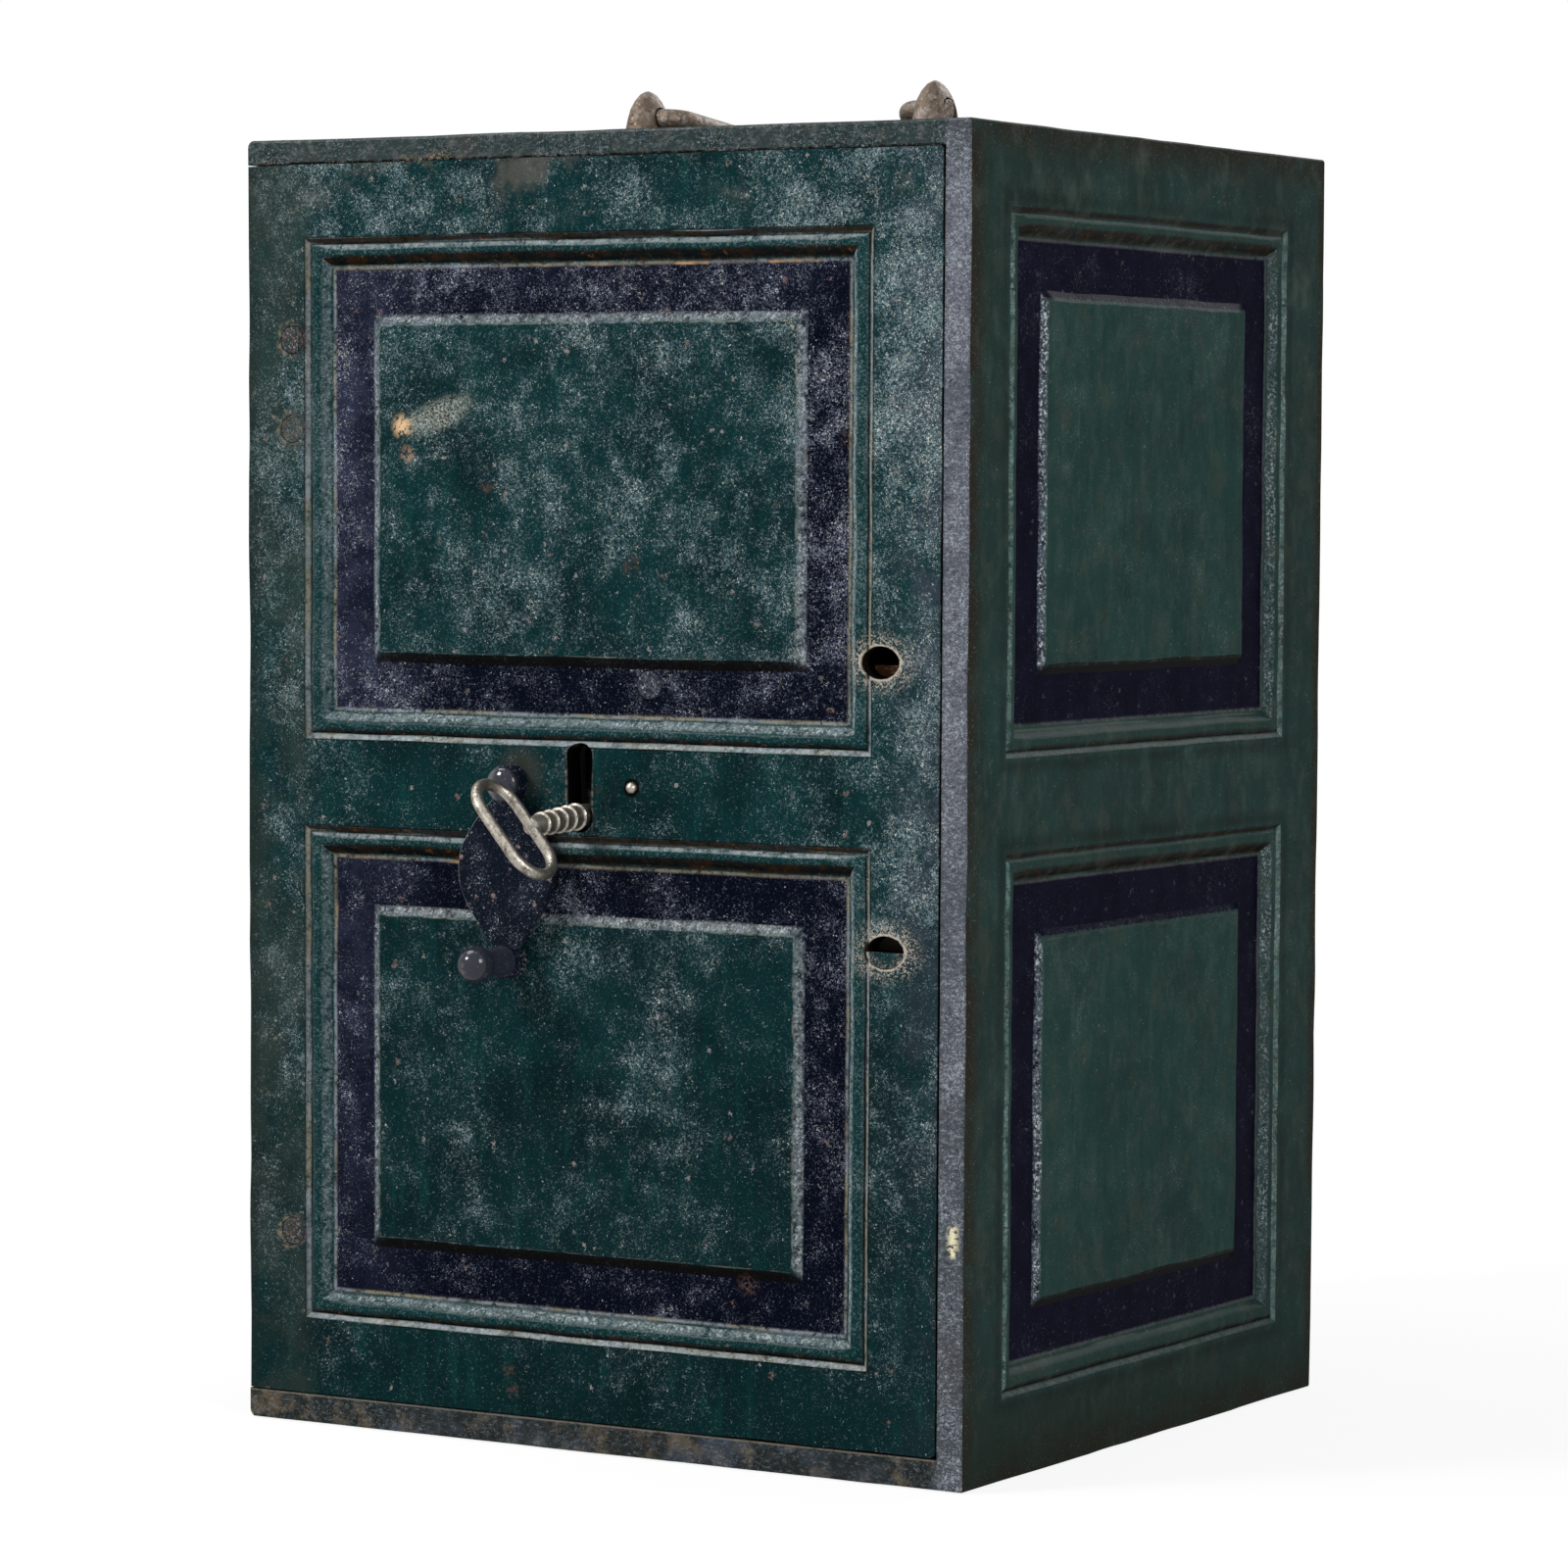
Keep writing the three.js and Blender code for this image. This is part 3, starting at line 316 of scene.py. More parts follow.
# Old paint: a ground with duller patches, a dark band round each raised field, mouldings pale partly from
# worn paint and partly from painted highlights where they turn to the lamps, with painted shade where they
# turn away and in their grooves, and flecks that are partly painted glints. inset: millimetres inside the
# moulded frame of a panel; wear: from 0 on clean paint to 1 where flecks crowd; specks: how much the flecks
# show; film: how dull the band is
def agedPaint(f, inset, tints, wear, specks, film):
    facing = f.parts(f.facing)
    up, across, ahead = facing[2], facing[0], -facing[1]
    f.cover(f.noise(0.03, 4).step(0.42, 0.66) * 0.7, tints["deep"])
    f.cover(f.noise(0.2, 4, place=f.stretched(1, 1, 0.2)).step(0.5, 0.75) * 0.3, tints["streak"])
    wobble = (f.noise(0.3, 3) - 0.5) * 1.1
    band = (inset + wobble).step(10.6, 11.3) * (inset + wobble).step(30.0, 29.3)
    f.cover(band, tints["band"])
    f.cover(band * f.noise(0.09, 4, 0.65).step(0.35, 0.65, (0.3, 1.0)) * film, tints["bandFilm"])
    patches = f.noise(0.022, 4, 0.62)
    clusters = patches * 0.5 + f.noise(0.11, 4, 0.65) * 0.5 + wear * 0.2
    density = clusters.step(0.4, 0.78)
    f.cover(density * tints["haze"] * (1 - band * 0.5), f.mixed(band, tints["film"], tints["bandFilm"]))
    grainTint = f.mixed(band, tints["grain"], tints["bandGrain"])
    # The crinkled grain, squiggles and flecks are partly pale flecks in the paint and partly painted glints
    # off its orange-peel surface
    crinkle = f.noise(1.25, 3, 0.65, twist=0.8)
    f.cover((crinkle + density * 0.2).step(0.58, 0.82) * specks * (0.7 - band * 0.15), grainTint, 0.5)
    squiggles = f.noise(1.0, 2, twist=0.5).near(0.52, 0.035) * crinkle.step(0.5, 0.6)
    speck = f.mixed(band, tints["speck"], tints["bandSpeck"])
    f.cover(squiggles * density.step(0.3, 0.9) * specks * 0.35, speck, 0.5)
    flecks = (f.noise(1.55, 2, 0.6, twist=1.3) + density * 0.14).step(0.69, 0.75)
    bright = f.mixed(f.noise(0.4, 2).step(0.4, 0.65), speck, tints["pale"])
    f.cover(flecks * specks * 0.95, bright, 0.5)
    chips = f.dots(0.24, 0.2, 0.07) * specks * (1 - band * 0.6)
    f.cover(chips * 0.6, "8f8684", 0.6)
    f.cover(f.dots(0.11, 0.15, 0.16) * specks * f.noise(0.9).step(0.4, 0.6) * 0.6, "76625e", 0.7)
    bead = inset.step(2.0, 3.0) * inset.step(10.4, 9.6)
    f.cover(bead * 0.6, tints["bead"])
    f.cover(bead * (crinkle + 0.04).step(0.56, 0.72) * specks * 0.45, tints["grain"])
    patchy = f.noise(0.09, 4).step(0.22, 0.5)
    lining = f.mixed(f.noise(0.035, 3).step(0.4, 0.6), tints["lining"], tints["paleLining"])
    rubbed = f.noise(0.5, 4, 0.7).step(0.32, 0.56) * patchy
    f.cover(inset.near(1.2, 1.25) * rubbed * 0.8, lining, 0.6)
    f.cover(inset.near(10.7, 1.0) * rubbed * 0.75, lining, 0.6)
    # A pale line painted on each field's edge except where it faces down: a painted highlight
    highlightFacing = up.step(-0.3, -0.05)
    f.cover(inset.near(30.7, 0.6) * highlightFacing * f.noise(0.2, 4).step(0.4, 0.65) * 0.5, lining, 0.6)
    # How squarely each face turns to the lamps, for the painted highlights below
    lampFacing = (up * tints["up"]).most(abs(across) * tints["across"]).most(ahead * tints["ahead"])
    worn = f.noise(0.3, 4, 0.65).step(0.32, 0.62)
    # Patchy pale on the moulding's outer edge where it turns to the lamps: partly worn paint, partly a
    # painted highlight
    edge = inset.step(0.1, 0.5) * inset.step(5.4, 4.6) * (lampFacing - abs(across) * tints["side"]).step(0.15, 0.5)
    f.cover(edge * worn * 0.65, tints["edge"], 0.45)
    # Painted highlights, broken into patches, on the foot slopes and field bevels turned to the lamps; weaker
    # on faces turned right, away from the left lamp
    foot = inset.step(5.0, 7.0) * inset.step(11.6, 11.0) * lampFacing.step(0.42, 0.7)
    bevel = inset.step(26.8, 28.4) * inset.step(31.3, 29.4) * lampFacing.step(0.15, 0.42)
    lit = (foot * across.step(0.2, 0.6, (1.0, 0.45))).most(bevel)
    highlightSpeckle = f.noise(1.0, 3, 0.6, twist=0.6).step(0.5, 0.64)
    f.cover(lit * worn * (highlightSpeckle * 0.3 + 0.5), tints["lit"], 0.45)
    # Painted glints on those highlights and on the pale edges
    glints = highlightSpeckle * f.noise(0.06, 3).step(0.35, 0.6, (0.3, 1.0))
    f.cover(lit.most(edge * tints["groove"] * 0.7) * glints * tints["gleamShare"], tints["gleam"], 0.45)
    # Painted shade: near-black lines along the moulding's outer step where it doesn't face up, and along the
    # groove inside it
    grooveShade = f.noise(0.15, 3).step(0.2, 0.5) * tints["groove"]
    f.cover(inset.near(0.1, 0.5) * grooveShade * up.step(0.3, -0.1), "0a0705")
    f.cover(inset.near(2.4, 0.6) * grooveShade * 0.9, "050405")
    # Painted shade: near black on faces turned down and on the fields' lower bevels; the brown patches after
    # it are rust on those undersides
    under = up.step(-0.15, -0.6).most(inset.step(26.7, 27.3) * up.step(-0.1, -0.4))
    under = under * inset.step(0.2, 0.6) * inset.step(31.4, 31.0)
    f.cover(under * 0.9, tints["under"], 0.75)
    under = under * inset.step(20, 15)
    f.cover(under * f.noise(0.2, 4).step(0.45, 0.7) * 0.7, "2c1b0d", 0.85)
    f.cover(under * f.noise(0.3, 4, 0.7).step(0.6, 0.68) * tints["groove"] * 0.6, "5e4023", 0.85)
    seam = inset.near(11.2, 0.75) * up.step(0.15, -0.3)
    f.cover(seam * f.noise(0.12, 3).step(0.35, 0.6) * 0.7, tints["seam"], 0.8)
    f.cover(seam * f.noise(0.05, 3).step(0.6, 0.7) * 0.9, tints["rust"], 0.8)
    return crinkle, flecks, band


# Worn pale rings round an oval hole, and painted shade on its walls
def holeWearAndShade(f, x, z, halfWidth, halfHeight):
    ragged = (f.noise(0.7, 3) - 0.5) * 2.0
    far = ((((f.x - x) / halfWidth) ** 2 + ((f.z - z) / halfHeight) ** 2) ** 0.5 - 1) * halfHeight
    f.cover((far + ragged).near(0.3, 0.8) * f.noise(0.9, 2).step(0.3, 0.5) * 0.9, "aaa094", 0.6)
    f.cover(far.near(1.5, 5.5) * f.noise(1.5, 3, 0.65, twist=0.4).step(0.5, 0.62) * 0.8, "a79c90")
    # The hole's walls near black: painted shade inside the hole
    f.cover(f.y.step(-131.9, -131.3) * far.step(1.5, 0.5), "16120e", 0.8)


# Bare iron that has browned where nobody sees it: inside the casing and behind the door
def brownInside(f, mask):
    f.cover(mask, "2e251e", 0.8)
    f.cover(mask * f.noise(0.03, 4, 0.6).step(0.42, 0.64) * 0.7, "45331f")
    f.cover(mask * f.noise(0.25, 4, 0.65).step(0.5, 0.7) * 0.6, "5b4433")
    f.cover(mask * f.noise(0.15, 4, 0.65, place=f.stretched(1, 1, 0.3)).step(0.5, 0.68) * 0.6, "18120e")
    f.cover(mask * f.noise(1.2, 3, 0.65).step(0.56, 0.7) * 0.5, "7c6350", 0.85)


# Tints and shares of the old paint, first on the door and then on the casing
tintPairs = {
    "ground": ("052426", "1c3532"),
    "deep": ("021214", "1a2c2a"),
    "streak": ("0a3c38", "2c463f"),
    "band": ("010411", "020210"),
    "film": ("33424a", "344844"),
    "bandFilm": ("2d3043", "14132a"),
    "haze": (0.15, 0.35),
    # How much the painted glints show; how strong the painted groove shade is, and with it the glints on
    # edges and the rust under the mouldings
    "gleamShare": (0.45, 0.85),
    "groove": (1.0, 0.45),
    "grain": ("64797f", "4b5c55"),
    "bandGrain": ("636a7e", "34343f"),
    "speck": ("9aa6a8", "768079"),
    "bandSpeck": ("a0a5b8", "555662"),
    "pale": ("b6b5aa", "8d948c"),
    "bead": ("072b2c", "1d2f2b"),
    "lining": ("847e6b", "4c4c48"),
    "paleLining": ("80868f", "4c4b52"),
    # The next four are painted light: a pale edge, partly worn paint and partly highlight, then a highlight
    # and glints on faces turned to the lamps, then shade on faces turned down
    "edge": ("8a9496", "5f7a74"),
    "lit": ("7c888c", "66717b"),
    "gleam": ("c2c9cc", "c8d0d4"),
    "under": ("070504", "131210"),
    "seam": ("5d5348", "3c3a3e"),
    "rust": ("b98f5e", "4b4645"),
    # How much faces turned forward, across and up catch the painted highlights, and how much less the pale
    # edge shows on faces turned across
    "ahead": (0.0, 1.1),
    "across": (1.0, 0.0),
    "side": (0.55, 0.0),
    "up": (1.0, 0.42),
}
doorTints, casingTints = ({name: pair[i] for name, pair in tintPairs.items()} for i in (0, 1))


def doorPaint():
    f = Finish("doorPaint", doorTints["ground"], 0.38)
    inset = panelInset(f, f.x, frontPanels)
    front = f.y.step(-127.0, -127.6)
    edge = f.x.step(70, 128).most(f.x.step(-118, -140) * 0.1)
    # Flecks and haze crowd more higher up, and less at the foot, along the middle rail and at the very top
    high = f.z.step(40, 420) * 0.28 - f.z.step(60, 10) * 0.5
    high = high - f.z.step(405, 440) * 0.16 - f.z.near(226, 24) * 0.3
    wear = (edge * 0.42).most(f.noise(0.012, 2).step(0.5, 0.75) * 0.4) * f.z.step(0, 300, (0.1, 1.0)) + high
    # Darker towards the bottom
    f.cover(f.z.step(260, 60) * 0.4, doorTints["deep"])
    dusty = f.x.step(-30, -110) * f.z.step(270, 400) * 0.1
    dull = f.x.step(-60, -105) * f.z.step(30, 260, (0.2, 0.55)) + f.z.step(380, 415) * 0.15
    grain, coarse = agedPaint(f, inset, doorTints, wear + dusty, front, dull)[:2]
    # Lilac grey patches on the right stile: partly dusty worn paint, partly painted sheen
    stile = f.x.step(108, 134) * front * f.z.step(0, 260, (0.25, 1.0))
    f.cover(stile * f.noise(0.06, 5, 0.65).step(0.35, 0.66) * (1 - coarse) * 0.5, "3c404c")
    for x, z in ovalHoles.values():
        holeWearAndShade(f, x, z, *holeHalf)
    for x, z in stileRivets:
        far = f.distance(x, z) + (f.noise(0.25, 3) - 0.5) * 5
        f.cover(far.step(7, 4) * f.noise(0.5, 3).step(0.35, 0.6) * 0.75, "3c3029", 0.8)
        # A pale arc on the left of each rivet's ring, turned to the left lamp: a painted highlight
        left = (f.x - x).step(4, -3)
        f.cover(far.near(6, 2) * f.noise(0.5, 3).step(0.45, 0.62) * left * 0.8, "7d7460", 0.7)
        f.cover(far.step(7, 3) * f.noise(1.4, 2, twist=1.0).step(0.54, 0.66) * 0.8, "8c7f86", 0.7)
    far = f.distance(keyhole["x"], keyhole["z"])
    f.cover(far.step(26, 8) * f.noise(0.25, 3).step(0.45, 0.7) * 0.5, "2c2622")
    aside = abs(f.x - keyhole["x"])
    slot = aside.step(6.2, 5.8) * abs(f.z - keyhole["z"] - 8.5).step(14.7, 14.4)
    f.cover(aside.near(5.3, 0.6) * slot * f.noise(0.4, 3).step(0.4, 0.6) * 0.5, "7d7468")
    # The keyhole's walls painted near black: painted shade inside the hole
    f.cover(slot * f.y.step(-132.1, -131.6), "070605", 0.8)
    # A near-black disc round the catch pin: painted shadow round its foot
    f.cover(f.spot(catchPin[0], catchPin[1], 3.2, 0.5), "060606")
    f.cover(f.spot(coverPivot[0] + 3, coverPivot[1] + 4, 8, 4) * 0.55, "3a3731")
    far = ((f.x + 66) ** 2 + ((f.z - 354 - (f.x + 66) * 0.3) * 2.6) ** 2) ** 0.5
    f.cover(far.step(19, 6) * f.noise(1.3, 3, 0.7).step(0.4, 0.66) * 0.75, "a3a498")
    f.cover(f.spot(-80, 350.5, 3.2, 2.6) * f.noise(0.6, 3).step(0.42, 0.52), "c3a27c")
    f.cover(f.spot(-78, 341, 2.2, 1.8) * f.noise(0.7, 3).step(0.42, 0.54), "8c6a55")
    for x, z, size in rustSpots:
        f.cover(f.spot(x, z, size, size * 0.8) * f.noise(0.7, 3, 0.65).step(0.46, 0.6) * 0.85, "4a3631", 0.8)
    leftStile = f.x.step(-112, -124) * front
    f.cover(leftStile * f.noise(0.05, 5, 0.65).step(0.3, 0.65) * 0.5, "2f3630")
    f.cover(f.x.step(-138, -143) * front * 0.5, "16201e")
    f.cover(f.z.step(415, 440) * f.noise(0.04, 4, 0.65).step(0.5, 0.68) * front * 0.6, "54504a")
    # Near black on the door's right edge: painted shade in the gap to the casing
    f.cover(f.x.step(134.5, 134.8) * f.noise(0.2, 3).step(0.2, 0.45), "060505")
    behind = f.parts(f.facing)[1].step(0.2, 0.6)
    f.cover((1 - front) * (1 - behind), "0b0806", 0.8)
    brownInside(f, (1 - front) * behind)
    f.material.diffuse_color = hexColour("17413d")
    bumps = (f.noise(0.07, 2), 0.5, 0.0012), (grain, 0.35, 0.0006), (coarse, 0.3, 0.0002)
    return f.done(bumps, coat=0.05, specular=0.0)


def casingPaint():
    f = Finish("casingPaint", casingTints["ground"], 0.4)
    inset = panelInset(f, f.y, sidePanels)
    grain, coarse, band = agedPaint(f, inset, casingTints, f.z.step(300, 440) * 0.2, 0.45, 0.35)
    rails = inset.step(0.5, -2.0)
    f.cover(rails * f.noise(0.018, 4, 0.6).step(0.35, 0.6, (0.25, 0.75)), "1e2a27")
    green = 1 - band
    f.cover(f.noise(0.2, 4, 0.6, place=f.stretched(1, 1, 0.25)).step(0.5, 0.7) * green * 0.3, "142520")
    f.cover(f.noise(0.12, 4, 0.65, place=f.stretched(1, 1, 0.5)).step(0.5, 0.72) * green * 0.3, "3d4c45")
    f.cover(f.noise(0.07, 5, 0.68).step(0.5, 0.66) * green * 0.35, "3a3d36")
    f.cover(f.noise(1.5, 2, 0.6, twist=1.0).step(0.7, 0.76) * green * 0.6, "93a19a", 0.5)
    f.cover(inset.near(-2.5, 4.5) * f.noise(0.05, 3).step(0.25, 0.55) * 0.5, "141c19")
    behind = f.parts(f.facing)[1].step(0.3, 0.7)
    brown = f.y.step(-119, -131).most(f.y.step(124, 131) * (1 - behind))
    brown = brown.most(behind * abs(f.x).step(124, 143))
    brown = brown.most(f.z.step(16, 1)).most(f.z.step(436, 449) * 0.8)
    f.cover(brown * f.noise(0.05, 4).step(0.25, 0.55) * 0.85, "241d16")
    f.cover(brown * f.noise(1.2, 2, twist=1.0).step(0.62, 0.7) * 0.6, "6f6a5d")
    f.cover(f.z.step(40, 8) * rails * 0.5, "1a211b")
    f.cover(f.noise(0.05, 4, 0.6).step(0.56, 0.72) * f.z.step(300, 440) * green * 0.3, "4d564f")
    brownInside(f, f.parts(f.facing)[1].step(-0.3, -0.7) * f.y.step(108, 112))
    top = f.z.step(449.2, 449.8)
    f.cover(top * f.noise(0.03, 5, 0.65).step(0.4, 0.62) * 0.5, "36403f")
    f.cover(top * (grain * 0.5 + f.noise(0.08, 5, 0.7) * 0.5).step(0.45, 0.62) * 0.6, "565e63")
    f.cover(top * f.noise(0.5, 3, place=f.stretched(0.12, 1, 1)).step(0.6, 0.7) * 0.35, "7c827f")
    f.cover(top * (coarse + f.noise(1.2, 2, twist=1.2).step(0.62, 0.68)) * 0.5, "959b98", 0.5)
    f.cover(top * f.noise(0.3, 4, 0.7).step(0.6, 0.66) * 0.6, "241c17", 0.7)
    f.material.diffuse_color = hexColour("20403a")
    bumps = (f.noise(0.07, 2), 0.5, 0.0012), (grain, 0.35, 0.0005), (coarse, 0.2, 0.0002)
    return f.done(bumps, coat=0.05, specular=0.0)


# The casing's front edges round the door: lilac grey on the right and at the foot, dark and patchy at the top
def rimPaint():
    f = Finish("rimPaint", "263130", 0.42)
    f.cover(f.noise(0.05, 4, 0.6).step(0.42, 0.62) * 0.8, "0c2226")
    f.cover(f.noise(0.035, 5, 0.65).step(0.48, 0.62) * 0.6, "393632")
    right = f.x.step(134, 137)
    foot = f.z.step(10.5, 9.5) * f.x.step(137, 134)
    # The right strip turns lilac grey, lightest above the middle and dimmer toward the foot and the top:
    # partly dusty worn paint, partly painted sheen
    height = f.z.step(20, 300, (0.45, 1.0)) * f.z.step(449, 425, (0.5, 1.0))
    f.cover(right * height * 0.9, "4d5059")
    f.cover(right * f.noise(0.05, 3).step(0.35, 0.65) * height * 0.5, "5c5c68")
    f.cover(foot * 0.8, "181b1a")
    f.cover(foot * f.noise(0.1, 4).step(0.5, 0.66) * 0.7, "574c3c")
    f.cover(foot * f.noise(0.04, 4).step(0.5, 0.65) * 0.5, "3c4450")
    grain = f.noise(0.9, 3, 0.65, place=f.stretched(0.5, 1, 1), twist=0.5)
    density = f.noise(0.05, 4).step(0.36, 0.62) * 0.75 + right * 0.25
    f.cover(grain.step(0.5, 0.72) * 0.6 * (right * 0.6 + 0.4), "8b909c")
    # Near black along the top edge of the opening, painted shadow in the gap over the door; a grey line along
    # its foot
    seam = f.z.step(442.3, 441.9) * f.z.step(430, 440)
    seam = seam.most(f.z.step(9.2, 9.6) * f.z.step(20, 10)) * f.x.step(136, 135) * f.y.step(-130, -131)
    f.cover(seam * f.noise(0.2, 3).step(0.2, 0.45), f.mixed(foot, "060505", "5f5c54"))
    f.cover(f.noise(1.3, 3, 0.65, twist=0.6).step(0.46, 0.34) * right * 0.75, "23252d")
    coarse = (f.noise(1.4, 2, 0.6, twist=1.2) + density * 0.12).step(0.64, 0.72)
    fleck = f.mixed(f.noise(0.15).step(0.52, 0.62) * (1 - right), "8f979c", "9c8f7c")
    f.cover(coarse * (right * 0.35 + 0.45) * (1 - foot * 0.5), fleck, 0.5)
    f.cover(f.noise(0.25, 4, 0.7).step(0.5, 0.66) * (1 - right) * (0.4 - foot * 0.25), "60625f")
    f.cover(f.noise(0.5, 3).step(0.55, 0.7) * 0.5, "15171c")
    f.cover(f.z.near(442, 2.2) * f.x.near(-68, 16) * f.noise(0.6, 3, 0.7).step(0.5, 0.6) * 0.7, "9a7b55")
    chip = f.spot(141.5, 83, 5.2, 1.0) * f.x.near(141.0, 3.2) * f.noise(0.55, 2).step(0.42, 0.5)
    f.cover(chip, "cfc7a6", 0.6)
    return f.done(((grain, 0.6, 0.0008), (coarse, 0.3, 0.0003)), coat=0.1, specular=0.0)


def wornSteel():
    f = Finish("wornSteel", "a8a298", 0.36, 1.0)
    f.cover(f.noise(0.3, 4).step(0.4, 0.7) * 0.75, "4a4139", 0.55)
    f.cover(f.noise(1.2, 3).step(0.52, 0.7) * 0.6, "3a3029", 0.65, 0.6)
    f.cover(f.dots(0.8, 0.35, 0.2) * 0.8, "33241b", 0.7, 0.4)
    f.cover(f.noise(1.6, 3).step(0.55, 0.75) * 0.5, "d8d0c0", 0.3)
    return f.done(((f.noise(1.3, 3), 0.35, 0.0004), (f.noise(5.0, 2), 0.25, 0.0001)))


def darkIron():
    f = Finish("darkIron", "2f2b29", 0.6, 0.75)
    f.cover(f.noise(0.08, 5).step(0.45, 0.7) * 0.7, "46332a", 0.75, 0.3)
    f.cover(f.dots(0.5, 0.4, 0.2) * 0.6, "6a4630", 0.8, 0.2)
    return f.done(((f.noise(0.6, 4), 0.4, 0.0005),))


def innerIron():
    f = Finish("innerIron", "2e251e", 0.8)
    brownInside(f, f.z.step(-20, -10))
    return f.done(((f.noise(0.6, 4), 0.4, 0.0005),), specular=0.2)


def rustedIron():
    f = Finish("rustedIron", "6a4029", 0.85, 0.0)
    f.cover(f.noise(0.2, 5).step(0.4, 0.65), "8a5735", 0.9)
    f.cover(f.noise(0.5, 4).step(0.5, 0.7) * 0.6, "34211a")
    f.cover(f.noise(0.7, 3, place=f.stretched(0.3, 1, 1.5)).step(0.56, 0.66) * 0.8, "b79a7c")
    # Painted shade where the plate sits in the dark behind the door: near black behind the keyhole,
    # green-black above and dark brown low down
    f.cover(f.x.step(90, 60), "0b0807")
    f.cover(f.z.step(272.5, 274.5), "202a22")
    f.cover(f.z.step(200, 180), "2b2420")
    return f.done(((f.noise(0.9, 5), 0.6, 0.0008),))


def brownedIron():
    f = Finish("brownedIron", "54463a", 0.5, 0.6)
    f.cover(f.noise(0.22, 4).step(0.4, 0.7), "6f6760", 0.45, 0.7)
    f.cover(f.noise(0.5, 4).step(0.5, 0.7) * 0.8, "2e241b", 0.7, 0.3)
    f.cover(f.dots(0.7, 0.4, 0.2) * 0.7, "93806a", 0.5)
    return f.done(((f.noise(0.45, 4), 0.6, 0.001), (f.noise(1.8, 3), 0.4, 0.0004)))


def coverPaint(name="coverPaint", coat=0.05, wear=1.0, tint="0a0f1a"):
    f = Finish(name, tint, 0.4)
    f.cover(f.noise(0.1, 4).step(0.45, 0.7) * 0.6 * wear, "151b28")
    density = f.noise(0.1, 3).step(0.35, 0.7)
    f.cover((f.noise(1.2, 3, 0.7) + density * 0.06).step(0.56, 0.78) * 0.4 * wear, "4a535f")
    flecks = (f.noise(1.5, 2, 0.6, twist=1.3) + density * 0.07).step(0.67, 0.74)
    f.cover(flecks * 0.85 * wear, "a3a9ad", 0.5)
    # A pale line on faces turned left, toward the left lamp, above where the knob sits: a painted highlight
    leftEdgeHighlight = f.parts(f.facing)[0].step(-0.08, -0.3) * f.noise(0.3, 3).step(0.2, 0.5)
    f.cover(leftEdgeHighlight * f.z.step(178, 184) * 0.7 * wear, "9b9f9c", 0.4)
    f.cover(f.dots(0.3, 0.26, 0.24) * f.noise(0.9).step(0.35, 0.5) * 0.85 * wear, "8a7672", 0.7)
    bumps = (f.noise(0.9, 3, 0.7), 0.3, 0.0004), (f.noise(0.12, 2), 0.4, 0.0008)
    return f.done(bumps, coat=coat, specular=0.0, coatRoughness=0.3 - coat * 0.35)


def rivetPaint():
    f = Finish("rivetPaint", "20232c", 0.5)
    f.cover(f.noise(0.8, 3, 0.65).step(0.45, 0.68), "484c58")
    f.cover(f.noise(1.3, 2, twist=1.0).step(0.6, 0.68) * 0.8, "9fa2aa")
    return f.done(((f.noise(0.9, 3, 0.7), 0.4, 0.0005),), coat=0.1, specular=0.0)


# Meshes


# The same shape with its corners and faces in a fixed order, because spinning, welding and cutting give
# them in an order that changes from run to run
def ordered(bm):
    corners = sorted((v for v in bm.verts if v.link_faces), key=lambda v: [round(c / mm, 4) for c in v.co])
    rank = {vert: i for i, vert in enumerate(corners)}
    cycles = {}
    for face in bm.faces:
        cycle = [rank[vert] for vert in face.verts]
        first = cycle.index(min(cycle))
        cycles.setdefault(tuple(sorted(cycle)), cycle[first:] + cycle[:first])
    fresh = bmesh.new()
    verts = [fresh.verts.new(vert.co) for vert in corners]
    for cycle in sorted(cycles.values()):
        fresh.faces.new([verts[i] for i in cycle])
    bm.free()
    return fresh


def meshOf(bm, name):
    mesh = bpy.data.meshes.new(name)
    bm.to_mesh(mesh)
    bm.free()
    return mesh


def toMesh(bm, name):
    bmesh.ops.remove_doubles(bm, verts=bm.verts, dist=0.000002)
    bmesh.ops.recalc_face_normals(bm, faces=bm.faces)
    return smoothed(meshOf(ordered(bm), name))


def smoothed(mesh, angle=38):
    mesh.polygons.foreach_set("use_smooth", [True] * len(mesh.polygons))
    mesh.set_sharp_from_angle(angle=math.radians(angle))
    return mesh


# A visible piece on its body; replaced: the nodes it stands for
def piece(name, mesh, body, materials, slot, *replaced):
    made = placed(name, mesh)
    mesh.materials.clear()
    for material in materials:
        mesh.materials.append(material)
    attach(made, body)
    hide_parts(*replaced)
    shown.update(replaced)
    return made


def blockOf(x0, x1, y0, y1, z0, z1):
    bm = bmesh.new()
    bmesh.ops.create_cube(bm, size=1)
    bmesh.ops.scale(bm, vec=Vector((x1 - x0, y1 - y0, z1 - z0)) * mm, verts=bm.verts)
    bmesh.ops.translate(bm, vec=Vector((x0 + x1, y0 + y1, z0 + z1)) * mm / 2, verts=bm.verts)
    return bm


def rod(radius, start, end, endRadius=None):
    start, end = Vector(start) * mm, Vector(end) * mm
    turn = (end - start).to_track_quat("Z", "Y").to_matrix().to_4x4()
    bm = bmesh.new()
    sizes = {"radius1": radius * mm, "radius2": (endRadius or radius) * mm, "depth": (end - start).length}
    place = Matrix.Translation((start + end) / 2) @ turn
    bmesh.ops.create_cone(bm, cap_ends=True, segments=48, matrix=place, **sizes)
    return bm


